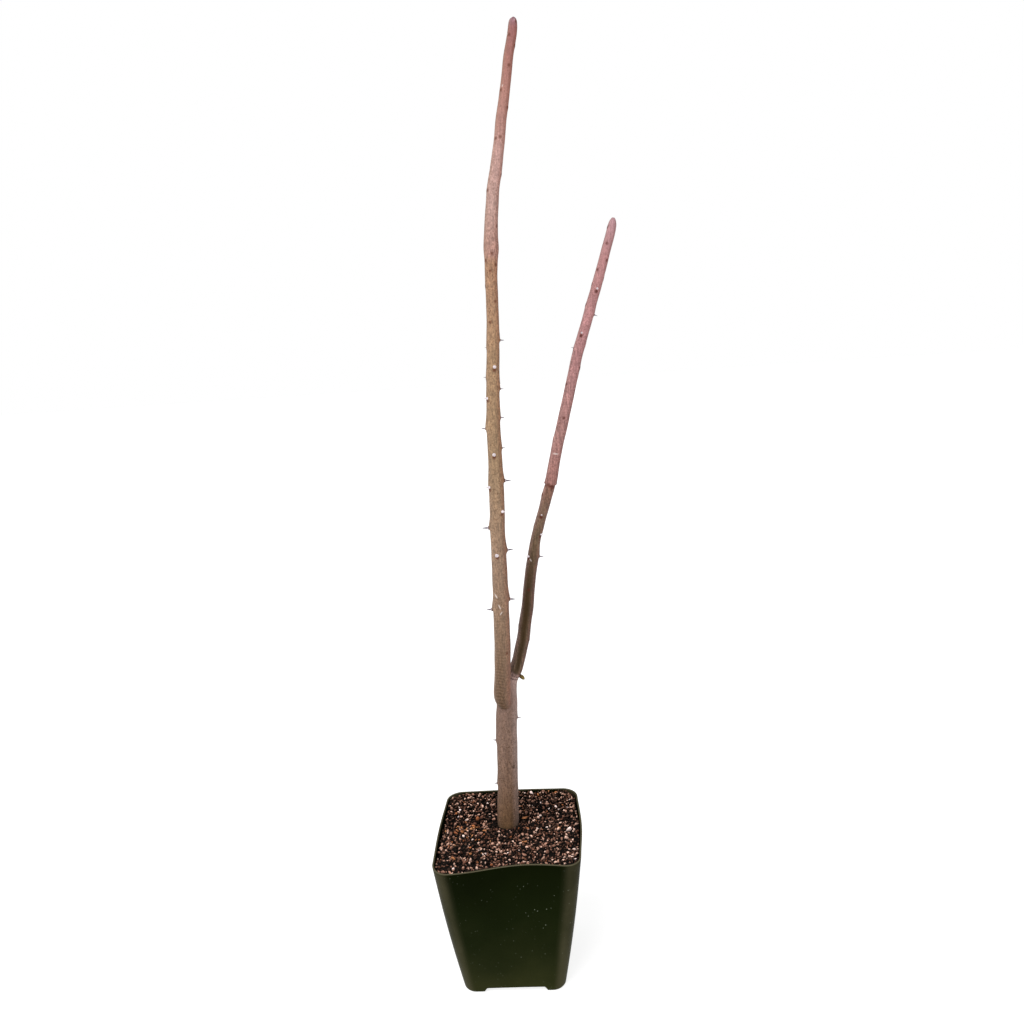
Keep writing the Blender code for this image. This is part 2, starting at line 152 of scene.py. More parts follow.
def new_material(name, roughness, ior=1.45, specular=0.5):
    """A material with its tree, its shader's inputs and the object's own coordinates."""
    made = bpy.data.materials.new(name)
    made.use_nodes = True
    tree = made.node_tree
    shader = tree.nodes["Principled BSDF"].inputs
    shader["Roughness"].default_value = roughness
    shader["IOR"].default_value = ior
    shader["Specular IOR Level"].default_value = specular
    return made, tree, shader, add_node(tree, "TexCoord", output="Object")


# %% [markdown]
# ## The stems' centre lines
# A grown stem has no straight stretch: it leans, bends a little at every flush of growth and thins towards
# the tip. A few points, each with a place and a diameter, and one smooth curve through them follow that.
# The numbers repeat the solid model's own.

# %% Centre lines, as (x, y, z, diameter)
TRUNK_SPINE = (
    (-2.6, 11.6, 34, 12.0),
    (-1.9, 11.6, 60, 13.4),
    (-1.6, 11.6, 82, 13.9),
    (-1.1, 11.6, 95, 13.7),
    (-0.1, 11.6, 111, 13.1),
    (0.8, 11.6, 128, 13.0),
    (1.5, 11.6, 145, 13.2),
    (2.2, 11.7, 160, 13.3),
    (3.5, 12.0, 169, 12.4),
    (4.8, 12.4, 177, 10.2),
    (6.1, 12.7, 183.5, 9.0),
    (7.2, 12.8, 186.5, 8.8),
    (8.4, 12.9, 188.6, 8.7),
)
LEFT_SPINE = (
    (3.0, 10.0, 168.5, 6.2),
    (1.7, 6.6, 173, 9.4),
    (1.4, 4.8, 179, 10.8),
    (2.2, 4.2, 190, 10.0),
    (3.3, 3.9, 205, 9.9),
    (4.0, 3.5, 222, 9.7),
    (4.6, 3.2, 240, 9.5),
    (5.2, 2.8, 258, 9.2),
    (5.6, 2.4, 278, 8.8),
    (6.4, 2.0, 297, 8.8),
    (6.8, 1.7, 310, 8.8),
    (7.3, 1.4, 327, 8.1),
    (7.7, 1.0, 345, 8.1),
    (8.8, 0.6, 363, 7.6),
    (10.0, 0.3, 380, 7.3),
    (11.0, 0.0, 394, 7.1),
    (11.7, -0.2, 408, 6.9),
    (12.2, -0.5, 423, 6.9),
    (12.7, -0.7, 434, 7.3),
    (13.3, -0.8, 441, 8.4),
    (13.7, -1.0, 448, 7.7),
    (14.6, -1.1, 457, 7.2),
    (16.3, -1.4, 470, 6.8),
    (18.7, -1.6, 481, 6.6),
    (21.3, -1.9, 494, 6.0),
    (23.8, -2.2, 508, 5.8),
    (26.7, -2.5, 522, 5.3),
    (29.3, -2.7, 536, 5.1),
    (31.9, -3.0, 547, 4.9),
    (32.7, -3.1, 551.7, 4.3),
    (33.0, -3.1, 553.4, 2.9),
    (33.1, -3.1, 554.1, 1.2),
)
RIGHT_SPINE = (
    (8.6, 12.9, 188.9, 8.6),
    (10.4, 13.0, 191.9, 8.4),
    (12.2, 13.2, 197, 7.9),
    (13.8, 13.3, 203, 8.0),
    (16.0, 13.5, 211, 7.9),
    (17.5, 13.7, 219, 7.7),
    (19.7, 14.1, 230, 7.4),
    (22.1, 14.5, 246, 7.0),
    (24.9, 15.0, 261, 6.9),
    (27.5, 15.4, 273, 6.1),
    (29.9, 15.6, 281, 6.1),
    (32.5, 15.8, 289, 6.0),
    (35.1, 16.1, 297, 6.3),
    (37.5, 16.4, 304, 6.6),
    (39.4, 16.6, 311, 6.9),
    (42.2, 16.9, 323, 6.6),
    (46.3, 17.4, 338, 6.7),
    (51.7, 18.0, 357, 6.5),
    (57.7, 18.7, 379, 6.2),
    (64.7, 19.3, 400, 6.0),
    (71.8, 20.0, 421, 5.8),
    (78.3, 20.6, 441, 5.3),
    (81.0, 20.8, 450, 5.0),
    (81.9, 21.0, 453.5, 3.9),
    (82.3, 21.1, 455.5, 1.8),
)


def smooth_spine(spine, step):
    """Rows on a smooth curve through the spine's own points, about one step apart, in millimetres."""
    nodes = np.array(spine, float)
    nodes = np.vstack([2 * nodes[0] - nodes[1], nodes, 2 * nodes[-1] - nodes[-2]])
    rows = []
    for before, start, end, after in zip(nodes, nodes[1:], nodes[2:], nodes[3:]):
        count = max(1, round(np.linalg.norm(end[:3] - start[:3]) / step))
        t = (np.arange(count) / count)[:, None]
        rows.append(0.5 * (2 * start + (end - before) * t + (2 * before - 5 * start + 4 * end - after) * t ** 2
                           + (3 * start - before - 3 * end + after) * t ** 3))
    rows.append(nodes[-2:-1])
    return np.vstack(rows)


def unit(vectors):
    return vectors / np.linalg.norm(vectors, axis=-1, keepdims=True)


class Stem:
    """A stem's centre line: places, radii, directions, the ways right and away, and the length so far."""

    def __init__(self, spine, step=0.5):
        rows = smooth_spine(spine, step)
        self.centre, self.radius = rows[:, :3], rows[:, 3] / 2
        self.tangent = unit(np.gradient(self.centre, axis=0))
        self.right = unit(np.array([1.0, 0, 0]) - self.tangent * self.tangent[:, :1])
        self.away = np.cross(self.tangent, self.right)
        steps = np.linalg.norm(np.diff(self.centre, axis=0), axis=1)
        self.along = np.concatenate([[0], np.cumsum(steps)])

    def ways_off(self, bearing, row=slice(None)):
        """Directions off the bark at bearings in degrees, where 0 faces the front and 90 the right."""
        angle = np.radians(bearing)
        right, away = self.right[row], self.away[row]
        if np.ndim(angle):
            right, away, angle = right[:, None], away[:, None], np.asarray(angle)[None, :, None]
        return np.sin(angle) * right - np.cos(angle) * away

    def from_mark(self, height, turned_to, bearing):
        """How far up and how far round the bark every point lies from a mark, in millimetres."""
        up = self.along - np.interp(height, self.centre[:, 2], self.along)
        turn = (bearing - turned_to + 180) % 360 - 180
        return up[:, None], np.radians(turn)[None, :] * self.radius[:, None]


trunk_line, left_line, right_line = Stem(TRUNK_SPINE), Stem(LEFT_SPINE), Stem(RIGHT_SPINE)
print("stem lengths, mm:", [round(float(line.along[-1]), 1) for line in (trunk_line, left_line, right_line)])

# %% [markdown]
# ## Where the thorns and scars sit
# An alluaudia bears its thorns and leaves in a spiral. Those that face the front were measured by height
# and by bearing, where 0 faces the front wall and 90 the right. The hidden side gets as many by a rule: for
# each front one there is another across the stem and a little higher.

# %% Thorns as (height, bearing, size) and scars as (height, bearing)
LEFT_THORNS = (
    (392, 92, 0.7), (387.8, -88, 0.3), (377, 16, 1.0), (371, -88, 0.45), (365.2, 92, 0.65), (359.8, -46, 0.9),
    (348.5, 76, 0.75), (342.5, -86, 0.8), (331, 94, 0.6), (327.8, -2, 1.0), (312.2, 90, 1.15), (308.8, -50, 0.95),
    (294.2, 42, 1.0), (284.2, -86, 1.25), (269.8, 90, 1.15), (268.4, -9, 1.1), (240, 88, 1.15), (234.2, -84, 1.1),
)
LEFT_SCARS = (
    (545.2, -30), (540.8, 66), (531.2, 22), (519.2, -44), (511.5, 66), (496.8, 12), (495.8, -34), (479, 80),
    (470.2, -52), (452.5, 60), (438, 10), (434.5, -46), (432.2, 48), (429, -4), (421.2, -66), (412.8, 34),
    (401.8, -20), (207, 36),
)
RIGHT_THORNS = (
    (417.1, 14, 0.6), (404, 90, 0.6), (392.4, -18, 0.55), (384, -88, 0.45), (287.9, -4, 0.45), (276.6, 50, 0.65),
    (262.6, -46, 0.7), (262.8, 84, 0.85),
)
RIGHT_SCARS = (
    (449.9, -62), (441.4, -14), (432.9, 40), (426.9, -42), (423.4, 78), (419.1, -80), (407.6, -78), (387, 82),
    (374, 66), (363.6, -60), (344.9, 2), (332, -80), (304.1, 26), (298.9, -64), (280.4, -72), (242.4, -2),
    (218.7, -78), (210.7, 80),
)
TRUNK_THORNS = ((160.4, 84, 0.75), (144, -86, 0.7), (115, -84, 0.65))
TRUNK_SCARS = ((128.5, 38),)
# Brown eyes of buds that never opened: one beside the tip, and two rows of them below the seam.
TIP_EYES = ((551.5, 48),)
COLLAR_EYES = tuple((height, bearing) for height in (188.2, 186.6) for bearing in range(-164, 180, 20))
# Pale scratches, as (height, bearing, lean in degrees from upright, half length, half width).
LEFT_SCRATCHES = (
    (243.2, -32, -38, 1.4, 0.3), (236.5, -6, -28, 1.4, 0.2), (232.5, 3, 35, 1.1, 0.2), (552.2, 14, 70, 0.5, 0.25),
    (521.2, -30, 20, 0.45, 0.22), (545.4, -50, 0, 0.4, 0.2),
)
RIGHT_SCRATCHES = ((260.5, -22, -50, 0.9, 0.22), (324.1, -4, 88, 1.6, 0.26))
BACK_RISE, BACK_SPREAD, BACK_LIMIT = 4.5, 25, 30


def with_back(marks, lowest, highest, draw):
    """The front's marks, and on the hidden side one more for each, a little higher and opposite."""
    hidden = []
    for height, bearing, *size in marks:
        opposite = bearing + draw.uniform(-BACK_SPREAD, BACK_SPREAD)
        raised = height + BACK_RISE + draw.uniform(-1, 1)
        if abs(bearing) < 75 and lowest < raised < highest:
            hidden.append((raised, 180 + max(-BACK_LIMIT, min(BACK_LIMIT, opposite)), *size))
    return tuple(marks) + tuple(hidden)


draw = random.Random(5)
left_thorns = with_back(LEFT_THORNS, 225, 396, draw)
left_scars = with_back(LEFT_SCARS, 200, 545, draw)
right_thorns = with_back(RIGHT_THORNS, 225, 425, draw)
right_scars = with_back(RIGHT_SCARS, 205, 445, draw)
print("thorns:", len(left_thorns), len(right_thorns), "scars:", len(left_scars), len(right_scars))

# %% [markdown]
# ## Bark as a swept skin
# Bark isn't a smooth tube. The stem swells above each thorn into a low shoulder that breaks off just below
# it, each leaf leaves a small raised scar with a sunk brown eye, and faint ridges run up the stem. All of
# them are heights added to the sweep's radius. The same distances from a mark also give a brown stain,
# darkened under each thorn into a painted shadow, or a pale scratch, stored at the points as masks for the
# material.

# %% Sweep a stem and raise its marks
def thorn_seat(up, side, shoulder):
    """The shoulder that a thorn stands on, and the brown skin just under the thorn, darkened into a painted shadow
    of the thorn.
    """
    reach = np.where(up > 0, 4.6, 1.3)
    rise = shoulder * np.exp(-(up / reach) ** 2 - (side / 1.9) ** 2)
    return rise, 0.9 * np.exp(-(((up + 1.4) / 1.15) ** 2 + (side / 1.1) ** 2) ** 2)


def leaf_scar(up, side):
    """A small raised ring with a sunk brown eye."""
    far = np.hypot(up / 1.15, side)
    rise = 0.3 * np.exp(-(far / 1.15) ** 2) - 0.28 * np.exp(-(far / 0.5) ** 2)
    return rise, 0.75 * np.exp(-(far / 0.85) ** 4)


def bark_skin(name, line, thorns, scars, around, shoulder, eyes=(), scratches=(), extra=None):
    """One stem's bark with its masks: stain_and_shadow (brown marks and painted shadows), pale, groove, growth and
    right.
    """
    bearing = np.linspace(0, 360, around, endpoint=False)
    round_by, along = np.radians(bearing)[None, :], line.along[:, None]
    rise = 0.05 * np.sin(7 * round_by + 0.03 * along) + 0.04 * np.sin(13 * round_by - 0.05 * along + 1.0)
    rise = rise + 0.10 * np.sin(0.31 * along + 2 * round_by) * np.sin(0.083 * along + round_by)
    stain_and_shadow, pale, groove = np.zeros_like(rise), np.zeros_like(rise), np.zeros_like(rise)
    # Under each thorn the brown stain is darkened into a painted shadow of the thorn.
    for height, turned_to, size in thorns:
        raised, brown_and_shadow = thorn_seat(*line.from_mark(height, turned_to, bearing), shoulder * min(size, 1.0))
        rise, stain_and_shadow = rise + raised, np.maximum(stain_and_shadow, brown_and_shadow)
    for height, turned_to in scars:
        raised, brown_and_shadow = leaf_scar(*line.from_mark(height, turned_to, bearing))
        rise, stain_and_shadow = rise + raised, np.maximum(stain_and_shadow, brown_and_shadow)
    for height, turned_to in eyes:
        up, side = line.from_mark(height, turned_to, bearing)
        stain_and_shadow = np.maximum(stain_and_shadow, np.exp(-(np.hypot(1.3 * up, side) / 0.64) ** 4))
    for height, turned_to, lean, half_length, half_width in scratches:
        up, side = line.from_mark(height, turned_to, bearing)
        tilt = math.radians(lean)
        lengthwise = up * math.cos(tilt) + side * math.sin(tilt)
        across = side * math.cos(tilt) - up * math.sin(tilt)
        pale = np.maximum(pale, np.exp(-(lengthwise / half_length) ** 4 - (across / half_width) ** 2))
    if extra is not None:
        raised, groove, brown_and_shadow = extra(line.centre[:, 2][:, None], bearing[None, :])
        rise, stain_and_shadow = rise + raised, np.maximum(stain_and_shadow, brown_and_shadow)
    fade = np.clip((line.along[-1] - line.along) / 2.5, 0, 1)[:, None]
    rings = line.centre[:, None] + line.ways_off(bearing) * (line.radius[:, None] + rise * fade)[..., None]
    growth = np.repeat(along / line.along[-1], around, 1)
    right = np.repeat(np.sin(round_by), len(along), 0)
    return ring_object(name, rings, {"stain_and_shadow": stain_and_shadow, "pale": pale, "growth": growth, "right": right,
                                     "groove": np.broadcast_to(groove, rise.shape)})


# %% [markdown]
# ## The left shoot
# It sprouts from the front of the trunk, and its foot is an older, olive band that fades out upwards. The
# band is only a colour, so its height is zero.

# %% The left shoot
def between(value, low, high, soft_low, soft_high):
    """About one between two levels, with a soft step at each."""
    return 1 / (1 + np.exp(-(value - low) / soft_low)) / (1 + np.exp((value - high) / soft_high))


def turned_off(bearing, middle):
    return (bearing - middle + 180) % 360 - 180


def olive_band(height, bearing):
    """No relief and no stain, and a band left of the front that darkens the shoot's foot."""
    band = between(height, 160, 210, 4, 13) * np.exp(-(turned_off(bearing, -16) / 42) ** 4)
    ticks = 0.72 + 0.28 * np.sin(height * 3.3 + 0.6 * np.sin(np.radians(bearing) * 5))
    return 0.0, 0.8 * band * ticks, 0.0


left_shoot = bark_skin("left_shoot_bark", left_line, left_thorns, left_scars, 84, 0.8,
                       TIP_EYES, LEFT_SCRATCHES, olive_band)

# %% [markdown]
# ## The right shoot's growth ring and furrow
# The right shoot stopped and grew on again: where the new pink growth starts, its skin ends in a slightly
# flared skirt over the older, olive-brown stem. Lower down the old skin has sunk into a dark furrow that
# faces the front. Both are heights as well, the ring by height alone and the furrow by height and bearing.

# %% The right shoot
RING_HEIGHT = 306.0
FURROW_LOW, FURROW_HIGH = 190.5, 262.0
# Upwards the furrow widens and turns to the left, by these degrees from its foot to its top.
FURROW_BEARINGS, FURROW_WIDTHS = (8.0, -14.0), (18.0, 42.0)


def ring_and_furrow(height, bearing):
    """Heights of the skirt, the step below it and the furrow, where the furrow is dark, and a painted shadow under
    the skirt.
    """
    angle = np.radians(bearing)
    wavy = height - RING_HEIGHT + 0.16 * np.sin(3 * angle) + 0.12 * np.sin(7 * angle + 1)
    skirt = np.where(wavy > 0, 0.45 * np.exp(-wavy / 2.5), -0.4 * np.exp(wavy / 2.2))
    # A dark line just under the skirt, strongest towards the front right, is a painted shadow of the skirt.
    skirt_painted_shadow = np.exp(-((wavy + 0.9) / 0.9) ** 2) * (0.5 + 0.45 * np.cos(angle - 0.8))
    share = np.clip((height - FURROW_LOW) / 45, 0, 1)
    middle = FURROW_BEARINGS[0] + (FURROW_BEARINGS[1] - FURROW_BEARINGS[0]) * share
    width = FURROW_WIDTHS[0] + (FURROW_WIDTHS[1] - FURROW_WIDTHS[0]) * share
    ends = between(height, FURROW_LOW, FURROW_HIGH, 1.0, 7)
    off = turned_off(bearing, middle) / width
    return skirt - 0.5 * ends * np.exp(-2 * off ** 2), 0.85 * ends * np.exp(-off ** 4), skirt_painted_shadow


right_shoot = bark_skin("right_shoot_bark", right_line, right_thorns, right_scars, 84, 0.55,
                        (), RIGHT_SCRATCHES, ring_and_furrow)

# %% [markdown]
# ## The trunk
# The trunk is the old cutting. It is thicker, rounder and duller than the shoots. On its left a lump of
# healed bark runs up into the left shoot's foot, and rows of small brown eyes mark the seam at its top.

# %% The trunk
def lump_and_line(height, bearing):
    """A lump on the left under the left shoot, and a faint dark line up the front."""
    lump = 1.3 * between(height, 168.5, 180, 1.3, 2.5) * np.exp(-(turned_off(bearing, -78) / 42) ** 2)
    line = between(height, 118, 146, 3, 3) * np.exp(-(turned_off(bearing, 4) / 9) ** 2)
    return lump, 0.35 * line, 0.0


trunk = bark_skin("trunk_bark", trunk_line, TRUNK_THORNS, TRUNK_SCARS, 100, 0.6, COLLAR_EYES, (), lump_and_line)

# %% [markdown]
# ## Thorns
# An alluaudia's thorn is a hard, straight spike on a small blunt base. The base dries chalky white and the
# spike is grey. Each is turned from one outline and set square to the bark, tipped up by a few degrees.
# Those that face the front are painted white to the tip, so that each reads as a white dot: painted light.
# The others are painted darker, with a brown base and a grey spike: painted shade. All thorns of a stem are
# one mesh.

# %% Turn thorns and set them on the bark
THORN_OUTLINE = np.array([
    (1.00, -0.9), (1.02, 0.05), (0.93, 0.32), (0.70, 0.55), (0.52, 0.80), (0.42, 1.3), (0.32, 2.0),
    (0.20, 2.8), (0.04, 3.4),
])
# How far along its colours, from brown through white to grey, each ring of the outline is.
# Thorns that face the front are painted white to the tip, as painted light; the others get a brown base and a grey
# spike, as painted shade.
LIT_FRONT_TINTS = (0.0, 0.13, 0.16, 0.2, 0.25, 0.3, 0.35, 0.4, 0.42)
SHADED_SIDE_TINTS = (0.0, 0.02, 0.06, 0.09, 0.62, 0.72, 0.8, 0.9, 1.0)
LIT_FRONT_WITHIN = 72
THORN_SIDES = 12
THORN_TILT = 0.03


def thorn_object(name, line, marks, lift, draw):
    """All of a stem's thorns as one mesh, with a mask that runs from base to tip."""
    angle = np.linspace(0, math.tau, THORN_SIDES, endpoint=False)
    levels = len(THORN_OUTLINE)
    points, faces, tips = [], [], []
    for number, (height, turned_to, size) in enumerate(marks):
        row = int(np.argmin(np.abs(line.centre[:, 2] - height)))
        way = unit(line.ways_off(turned_to, row) + line.tangent[row] * (THORN_TILT + draw.uniform(-0.07, 0.07)))
        side = unit(np.cross(line.tangent[row], way))
        base = line.centre[row] + way * (line.radius[row] + lift * min(size, 1.0))
        disc = np.cos(angle)[:, None] * side + np.sin(angle)[:, None] * np.cross(way, side)
        rings = base + THORN_OUTLINE[:, 0, None, None] * size * disc + THORN_OUTLINE[:, 1, None, None] * size * way
        start = number * levels * THORN_SIDES
        points.append(rings.reshape(-1, 3))
        faces += (ring_faces(levels, THORN_SIDES) + start).tolist()
        faces.append([start + k for k in reversed(range(THORN_SIDES))])
        faces.append([start + (levels - 1) * THORN_SIDES + k for k in range(THORN_SIDES)])
        # Painted light for thorns that face the front, painted shade for the others.
        tips.append(np.repeat(LIT_FRONT_TINTS if abs(turned_to) < LIT_FRONT_WITHIN else SHADED_SIDE_TINTS, THORN_SIDES))
    return mesh_object(name, np.vstack(points), faces, {"tip": np.concatenate(tips)})


thorn_draw = random.Random(21)
left_spikes = thorn_object("left_shoot_thorns", left_line, left_thorns, 0.5, thorn_draw)
right_spikes = thorn_object("right_shoot_thorns", right_line, right_thorns, 0.4, thorn_draw)
trunk_spikes = thorn_object("trunk_thorns", trunk_line, TRUNK_THORNS, 0.4, thorn_draw)

# %% [markdown]
# ## The dried leaf
# One leaf is left at the seam under the right shoot. It is a few millimetres long, thick in the middle,
# with a stout stalk. Rings of points along its length, bent a little, give it that cupped shape.

# %% The leaf
LEAF_START = np.array((10.9, 12.2, 187.8))
LEAF_LENGTH, LEAF_HALF_WIDTH, LEAF_HALF_THICKNESS = 5.4, 1.3, 1.2
LEAF_DROOP = math.radians(36)


def leaf_object():
    """A drooping leaf as rings along its length: a stalk that swells into a pointed oval."""
    share = np.linspace(0.0, 1.0, 40)
    width = 0.5 + 0.5 * np.sin(np.pi * np.clip((share - 0.16) / 0.80, 0, 1)) ** 0.7
    width *= np.sqrt(np.clip((1.02 - share) / 0.16, 0.02, 1))
    angle = np.linspace(0, math.tau, 24, endpoint=False)
    along = np.array((math.cos(LEAF_DROOP), -0.12, -math.sin(LEAF_DROOP)))
    over = np.array((math.sin(LEAF_DROOP), 0.0, math.cos(LEAF_DROOP)))
    side = np.array((0.1, 1.0, 0.0))
    bend = 0.3 * np.sin(np.pi * share)
    centre = LEAF_START + share[:, None] * LEAF_LENGTH * along + bend[:, None] * over
    cup = 0.2 * np.cos(angle) ** 2
    rings = (centre[:, None] + (width[:, None] * np.cos(angle) * LEAF_HALF_WIDTH)[..., None] * side
             + (width[:, None] * (np.sin(angle) * LEAF_HALF_THICKNESS + cup * LEAF_HALF_WIDTH))[..., None] * over)
    under = np.repeat(-np.sin(angle)[None, :], 40, 0)
    return ring_object("dried_leaf", rings, {"tip": np.repeat(share[:, None], 24, 1), "under": under})


leaf = leaf_object()

# %% [markdown]
# ## The pot
# The pot is injection moulded in thin, soft plastic, so its walls bow a little between the stiff corners,
# and its front wall is pressed in. One formula gives the outline at each height. The outlines are joined up
# the outside, round the thin rim and down the inside, and then the gaps between the feet and the drain
# holes are cut, as a mould's cores would leave them.

# %% The pot's outline and its body
FOOT_HEIGHT, FOOT_SPAN, FOOT_SLOPE, FLOOR = 3.5, 11.0, 3.2, 1.4
DRAIN_RADIUS, DRAIN_SPACING = 4.0, 16.0
FOOT_ROUNDING = ((0.0, 1.1), (0.15, 0.75), (0.5, 0.4), (0.9, 0.15), (1.3, 0.0), (2.5, 0.0), (4.0, 0.0))
RIM_ROUNDING = ((-0.25, 0.0), (-0.06, 0.12), (0.0, 0.32), (0.0, 0.68), (-0.06, 0.88), (-0.25, 1.0))


def pot_outline(height, inset, corner_steps=12, side_steps=34):
    """The pot's outline at a height, anticlockwise, moved in by the inset."""
    share = height / POT_HEIGHT
    half = (BASE_SIDE + (RIM_SIDE - BASE_SIDE) * share) / 2 + SIDE_SWELL * math.sin(math.pi * share) - inset
    corner = max(BASE_CORNER + (RIM_CORNER - BASE_CORNER) * share - inset, 1.0)
    flat = half - corner
    angle = np.linspace(0, math.pi / 2, corner_steps + 1)
    bend = np.stack([flat + corner * np.cos(angle), flat + corner * np.sin(angle)], -1)
    straight = np.linspace(flat, -flat, side_steps + 1)[1:-1]
    quarter = np.vstack([bend, np.stack([straight, np.full(len(straight), half)], -1)])
    turns = [(1, 0), (0, 1), (-1, 0), (0, -1)]
    points = np.vstack([quarter @ np.array([[c, s], [-s, c]]) for c, s in turns])
    across, deep = np.clip(points[:, 0] / half, -1, 1), np.clip(points[:, 1] / half, -1, 1)
    soft = 1 - (1 - share) ** 2
    swell_x, swell_y = np.cos(math.pi * across / 2) ** 2, np.cos(math.pi * deep / 2) ** 2
    dent = FRONT_DENT * swell_x + FRONT_WAVE * np.sin(math.pi * across) + FRONT_SKEW * across
    points[:, 1] += dent * np.maximum(-deep, 0) * share + BACK_BOW * swell_x * np.maximum(deep, 0) * soft
    points[:, 0] += (RIGHT_BOW * np.maximum(across, 0) - LEFT_BOW * np.maximum(-across, 0)) * swell_y * soft
    return points + BASE_SHIFT * (1 - share)


def pot_rings():
    """Every ring of the pot from under a foot, up the outside, over the rim and down to the floor."""
    stack = list(FOOT_ROUNDING) + [(height, 0.0) for height in np.linspace(6, 88, 42)]
    stack += [(POT_HEIGHT + down, inset) for down, inset in RIM_ROUNDING]
    stack += [(height, WALL) for height in np.linspace(88, 8, 30)] + [(FOOT_HEIGHT + FLOOR, WALL)]
    rings = []
    for height, inset in stack:
        outline = pot_outline(height, inset)
        rings.append(np.column_stack([outline, np.full(len(outline), height)]))
    return np.array(rings)


pot = ring_object("pot_shell", pot_rings())

# %% Cut the gaps between the feet and the drain holes
def cutter(name, bm):
    """A hidden solid that takes its shape out of the pot."""
    mesh = bpy.data.meshes.new(name)
    bmesh.ops.recalc_face_normals(bm, faces=bm.faces)
    bm.to_mesh(mesh)
    bm.free()
    made = bpy.data.objects.new(name, mesh)
    bpy.context.scene.collection.objects.link(made)
    return made


def foot_gap(turn):
    """A bar under two walls, whose ends rise in an S-shaped slope beside each foot."""
    half = BASE_SIDE / 2 - FOOT_SPAN
    slope = [(half - FOOT_SLOPE * s, FOOT_HEIGHT * s * s * (3 - 2 * s)) for s in np.linspace(0, 1, 14)]
    profile = [(-half, -2.0), (half, -2.0)] + slope + [(-x, z) for x, z in reversed(slope)]
    bm = bmesh.new()
    near = [bm.verts.new(placed((x, -BASE_SIDE, z))) for x, z in profile]
    far = [bm.verts.new(placed((x, BASE_SIDE, z))) for x, z in profile]
    for k in range(len(profile)):
        after = (k + 1) % len(profile)
        bm.faces.new((near[k], near[after], far[after], far[k]))
    bm.faces.new(near[::-1])
    bm.faces.new(far)
    bmesh.ops.rotate(bm, cent=pot_axis, matrix=Matrix.Rotation(turn, 3, "Z"), verts=bm.verts)
    return cutter("foot_gap", bm)


def drain_hole(x, y):
    bm = bmesh.new()
    bmesh.ops.create_cone(bm, cap_ends=True, segments=40, radius1=DRAIN_RADIUS * MM, radius2=DRAIN_RADIUS * MM,
                          depth=20 * MM, matrix=Matrix.Translation(placed((x, y, 0))))
    return cutter("drain_hole", bm)


def cut_away(target, cutters):
    """Take each cutter out of the target, apply the result and clear the cutters away."""
    for tool in cutters:
        cut = target.modifiers.new("cut", "BOOLEAN")
        cut.operation = "DIFFERENCE"
        cut.object = tool
    depsgraph = bpy.context.evaluated_depsgraph_get()
    result = bpy.data.meshes.new_from_object(target.evaluated_get(depsgraph))
    target.modifiers.clear()
    target.data = result
    for tool in cutters:
        bpy.data.objects.remove(tool)


def store_corner_wear_and_sheen(target):
    """Store how near each point is to a vertical corner, where the pot is painted paler: partly rubbed wear, partly
    a painted sheen.
    """
    flat = np.empty(len(target.data.vertices) * 3)
    target.data.vertices.foreach_get("co", flat)
    place = (flat.reshape(-1, 3) - np.array(pot_axis)) / MM
    share = np.clip(place[:, 2] / POT_HEIGHT, 0, 1)
    half = (BASE_SIDE + (RIM_SIDE - BASE_SIDE) * share) / 2
    local = np.abs(place[:, :2] - BASE_SHIFT * (1 - share)[:, None]) / half[:, None]
    near = np.clip((local.min(1) - 0.74) / 0.14, 0, 1)
    stored = target.data.attributes.new("corner", "FLOAT", "POINT")
    stored.data.foreach_set("value", (near * near * (3 - 2 * near)).astype(np.float32))


drain_spots = [(0, 0), (DRAIN_SPACING, 0), (0, DRAIN_SPACING), (-DRAIN_SPACING, 0), (0, -DRAIN_SPACING)]
cut_away(pot, [foot_gap(0.0), foot_gap(math.pi / 2)] + [drain_hole(x, y) for x, y in drain_spots])
store_corner_wear_and_sheen(pot)
pot.data.shade_smooth()
pot.data.set_sharp_from_angle(angle=math.radians(40))
print("pot faces after cutting:", len(pot.data.polygons))

# %% [markdown]
# ## The grit
# Growers pot succulents in mineral grit: crushed lava, pumice, baked clay and a little quartz, sieved to
# between one and four millimetres. What makes it read as grit is that every stone is its own chip with its
# own tint and dark gaps beside it. So the bed is covered with separate stones: balls whose sides are cut
# off flat at random, turned and pressed a little into the bed. Big ones are thrown first and small ones
# fill the gaps.

# %% Throw stones on the bed
STONE_SIZES = ((20, 1.3, 1.7), (480, 0.95, 1.25), (1450, 0.7, 0.95), (900, 0.45, 0.7))
FINE_FROM = 0.95
STONE_KINDS = (("scoria", 0.40), ("brown_lava", 0.375), ("pumice", 0.2), ("baked_clay", 0.015), ("quartz", 0.01))
# Stones that stand out, as (x, y, radius, kind).
CHOSEN_STONES = (
    (13.3, 41.0, 1.7, "quartz"), (37.5, -2.3, 1.6, "quartz"), (29.1, 41.0, 1.5, "baked_clay"),
    (35.5, -9.6, 1.8, "pumice"), (24.4, -25.2, 1.8, "brown_lava"), (25.0, 22.1, 0.9, "quartz"),
    (29.6, 23.0, 0.9, "quartz"), (31.5, 20.6, 1.0, "quartz"), (19.7, 28.5, 0.9, "quartz"),
    (-34.2, 23.4, 0.9, "quartz"), (-28.5, -5.0, 1.2, "quartz"), (-22.6, -7.5, 1.0, "quartz"),
    (-13.3, -22.3, 0.9, "quartz"), (-31.4, -37.6, 1.1, "quartz"), (-22.9, -23.8, 1.1, "baked_clay"),
    (-21.8, -34.0, 1.2, "pumice"), (10.1, -31.8, 1.2, "pumice"), (-9.7, -12.3, 1.3, "pumice"),
    (-11.0, 12.9, 1.4, "pumice"), (-29.6, -0.7, 1.3, "baked_clay"), (-21.9, 13.4, 1.5, "baked_clay"),
)
# A patch of baked clay lies left of the trunk, as (x, y, radius).
CLAY_PATCH = (-25.5, 2.0, 11.0)
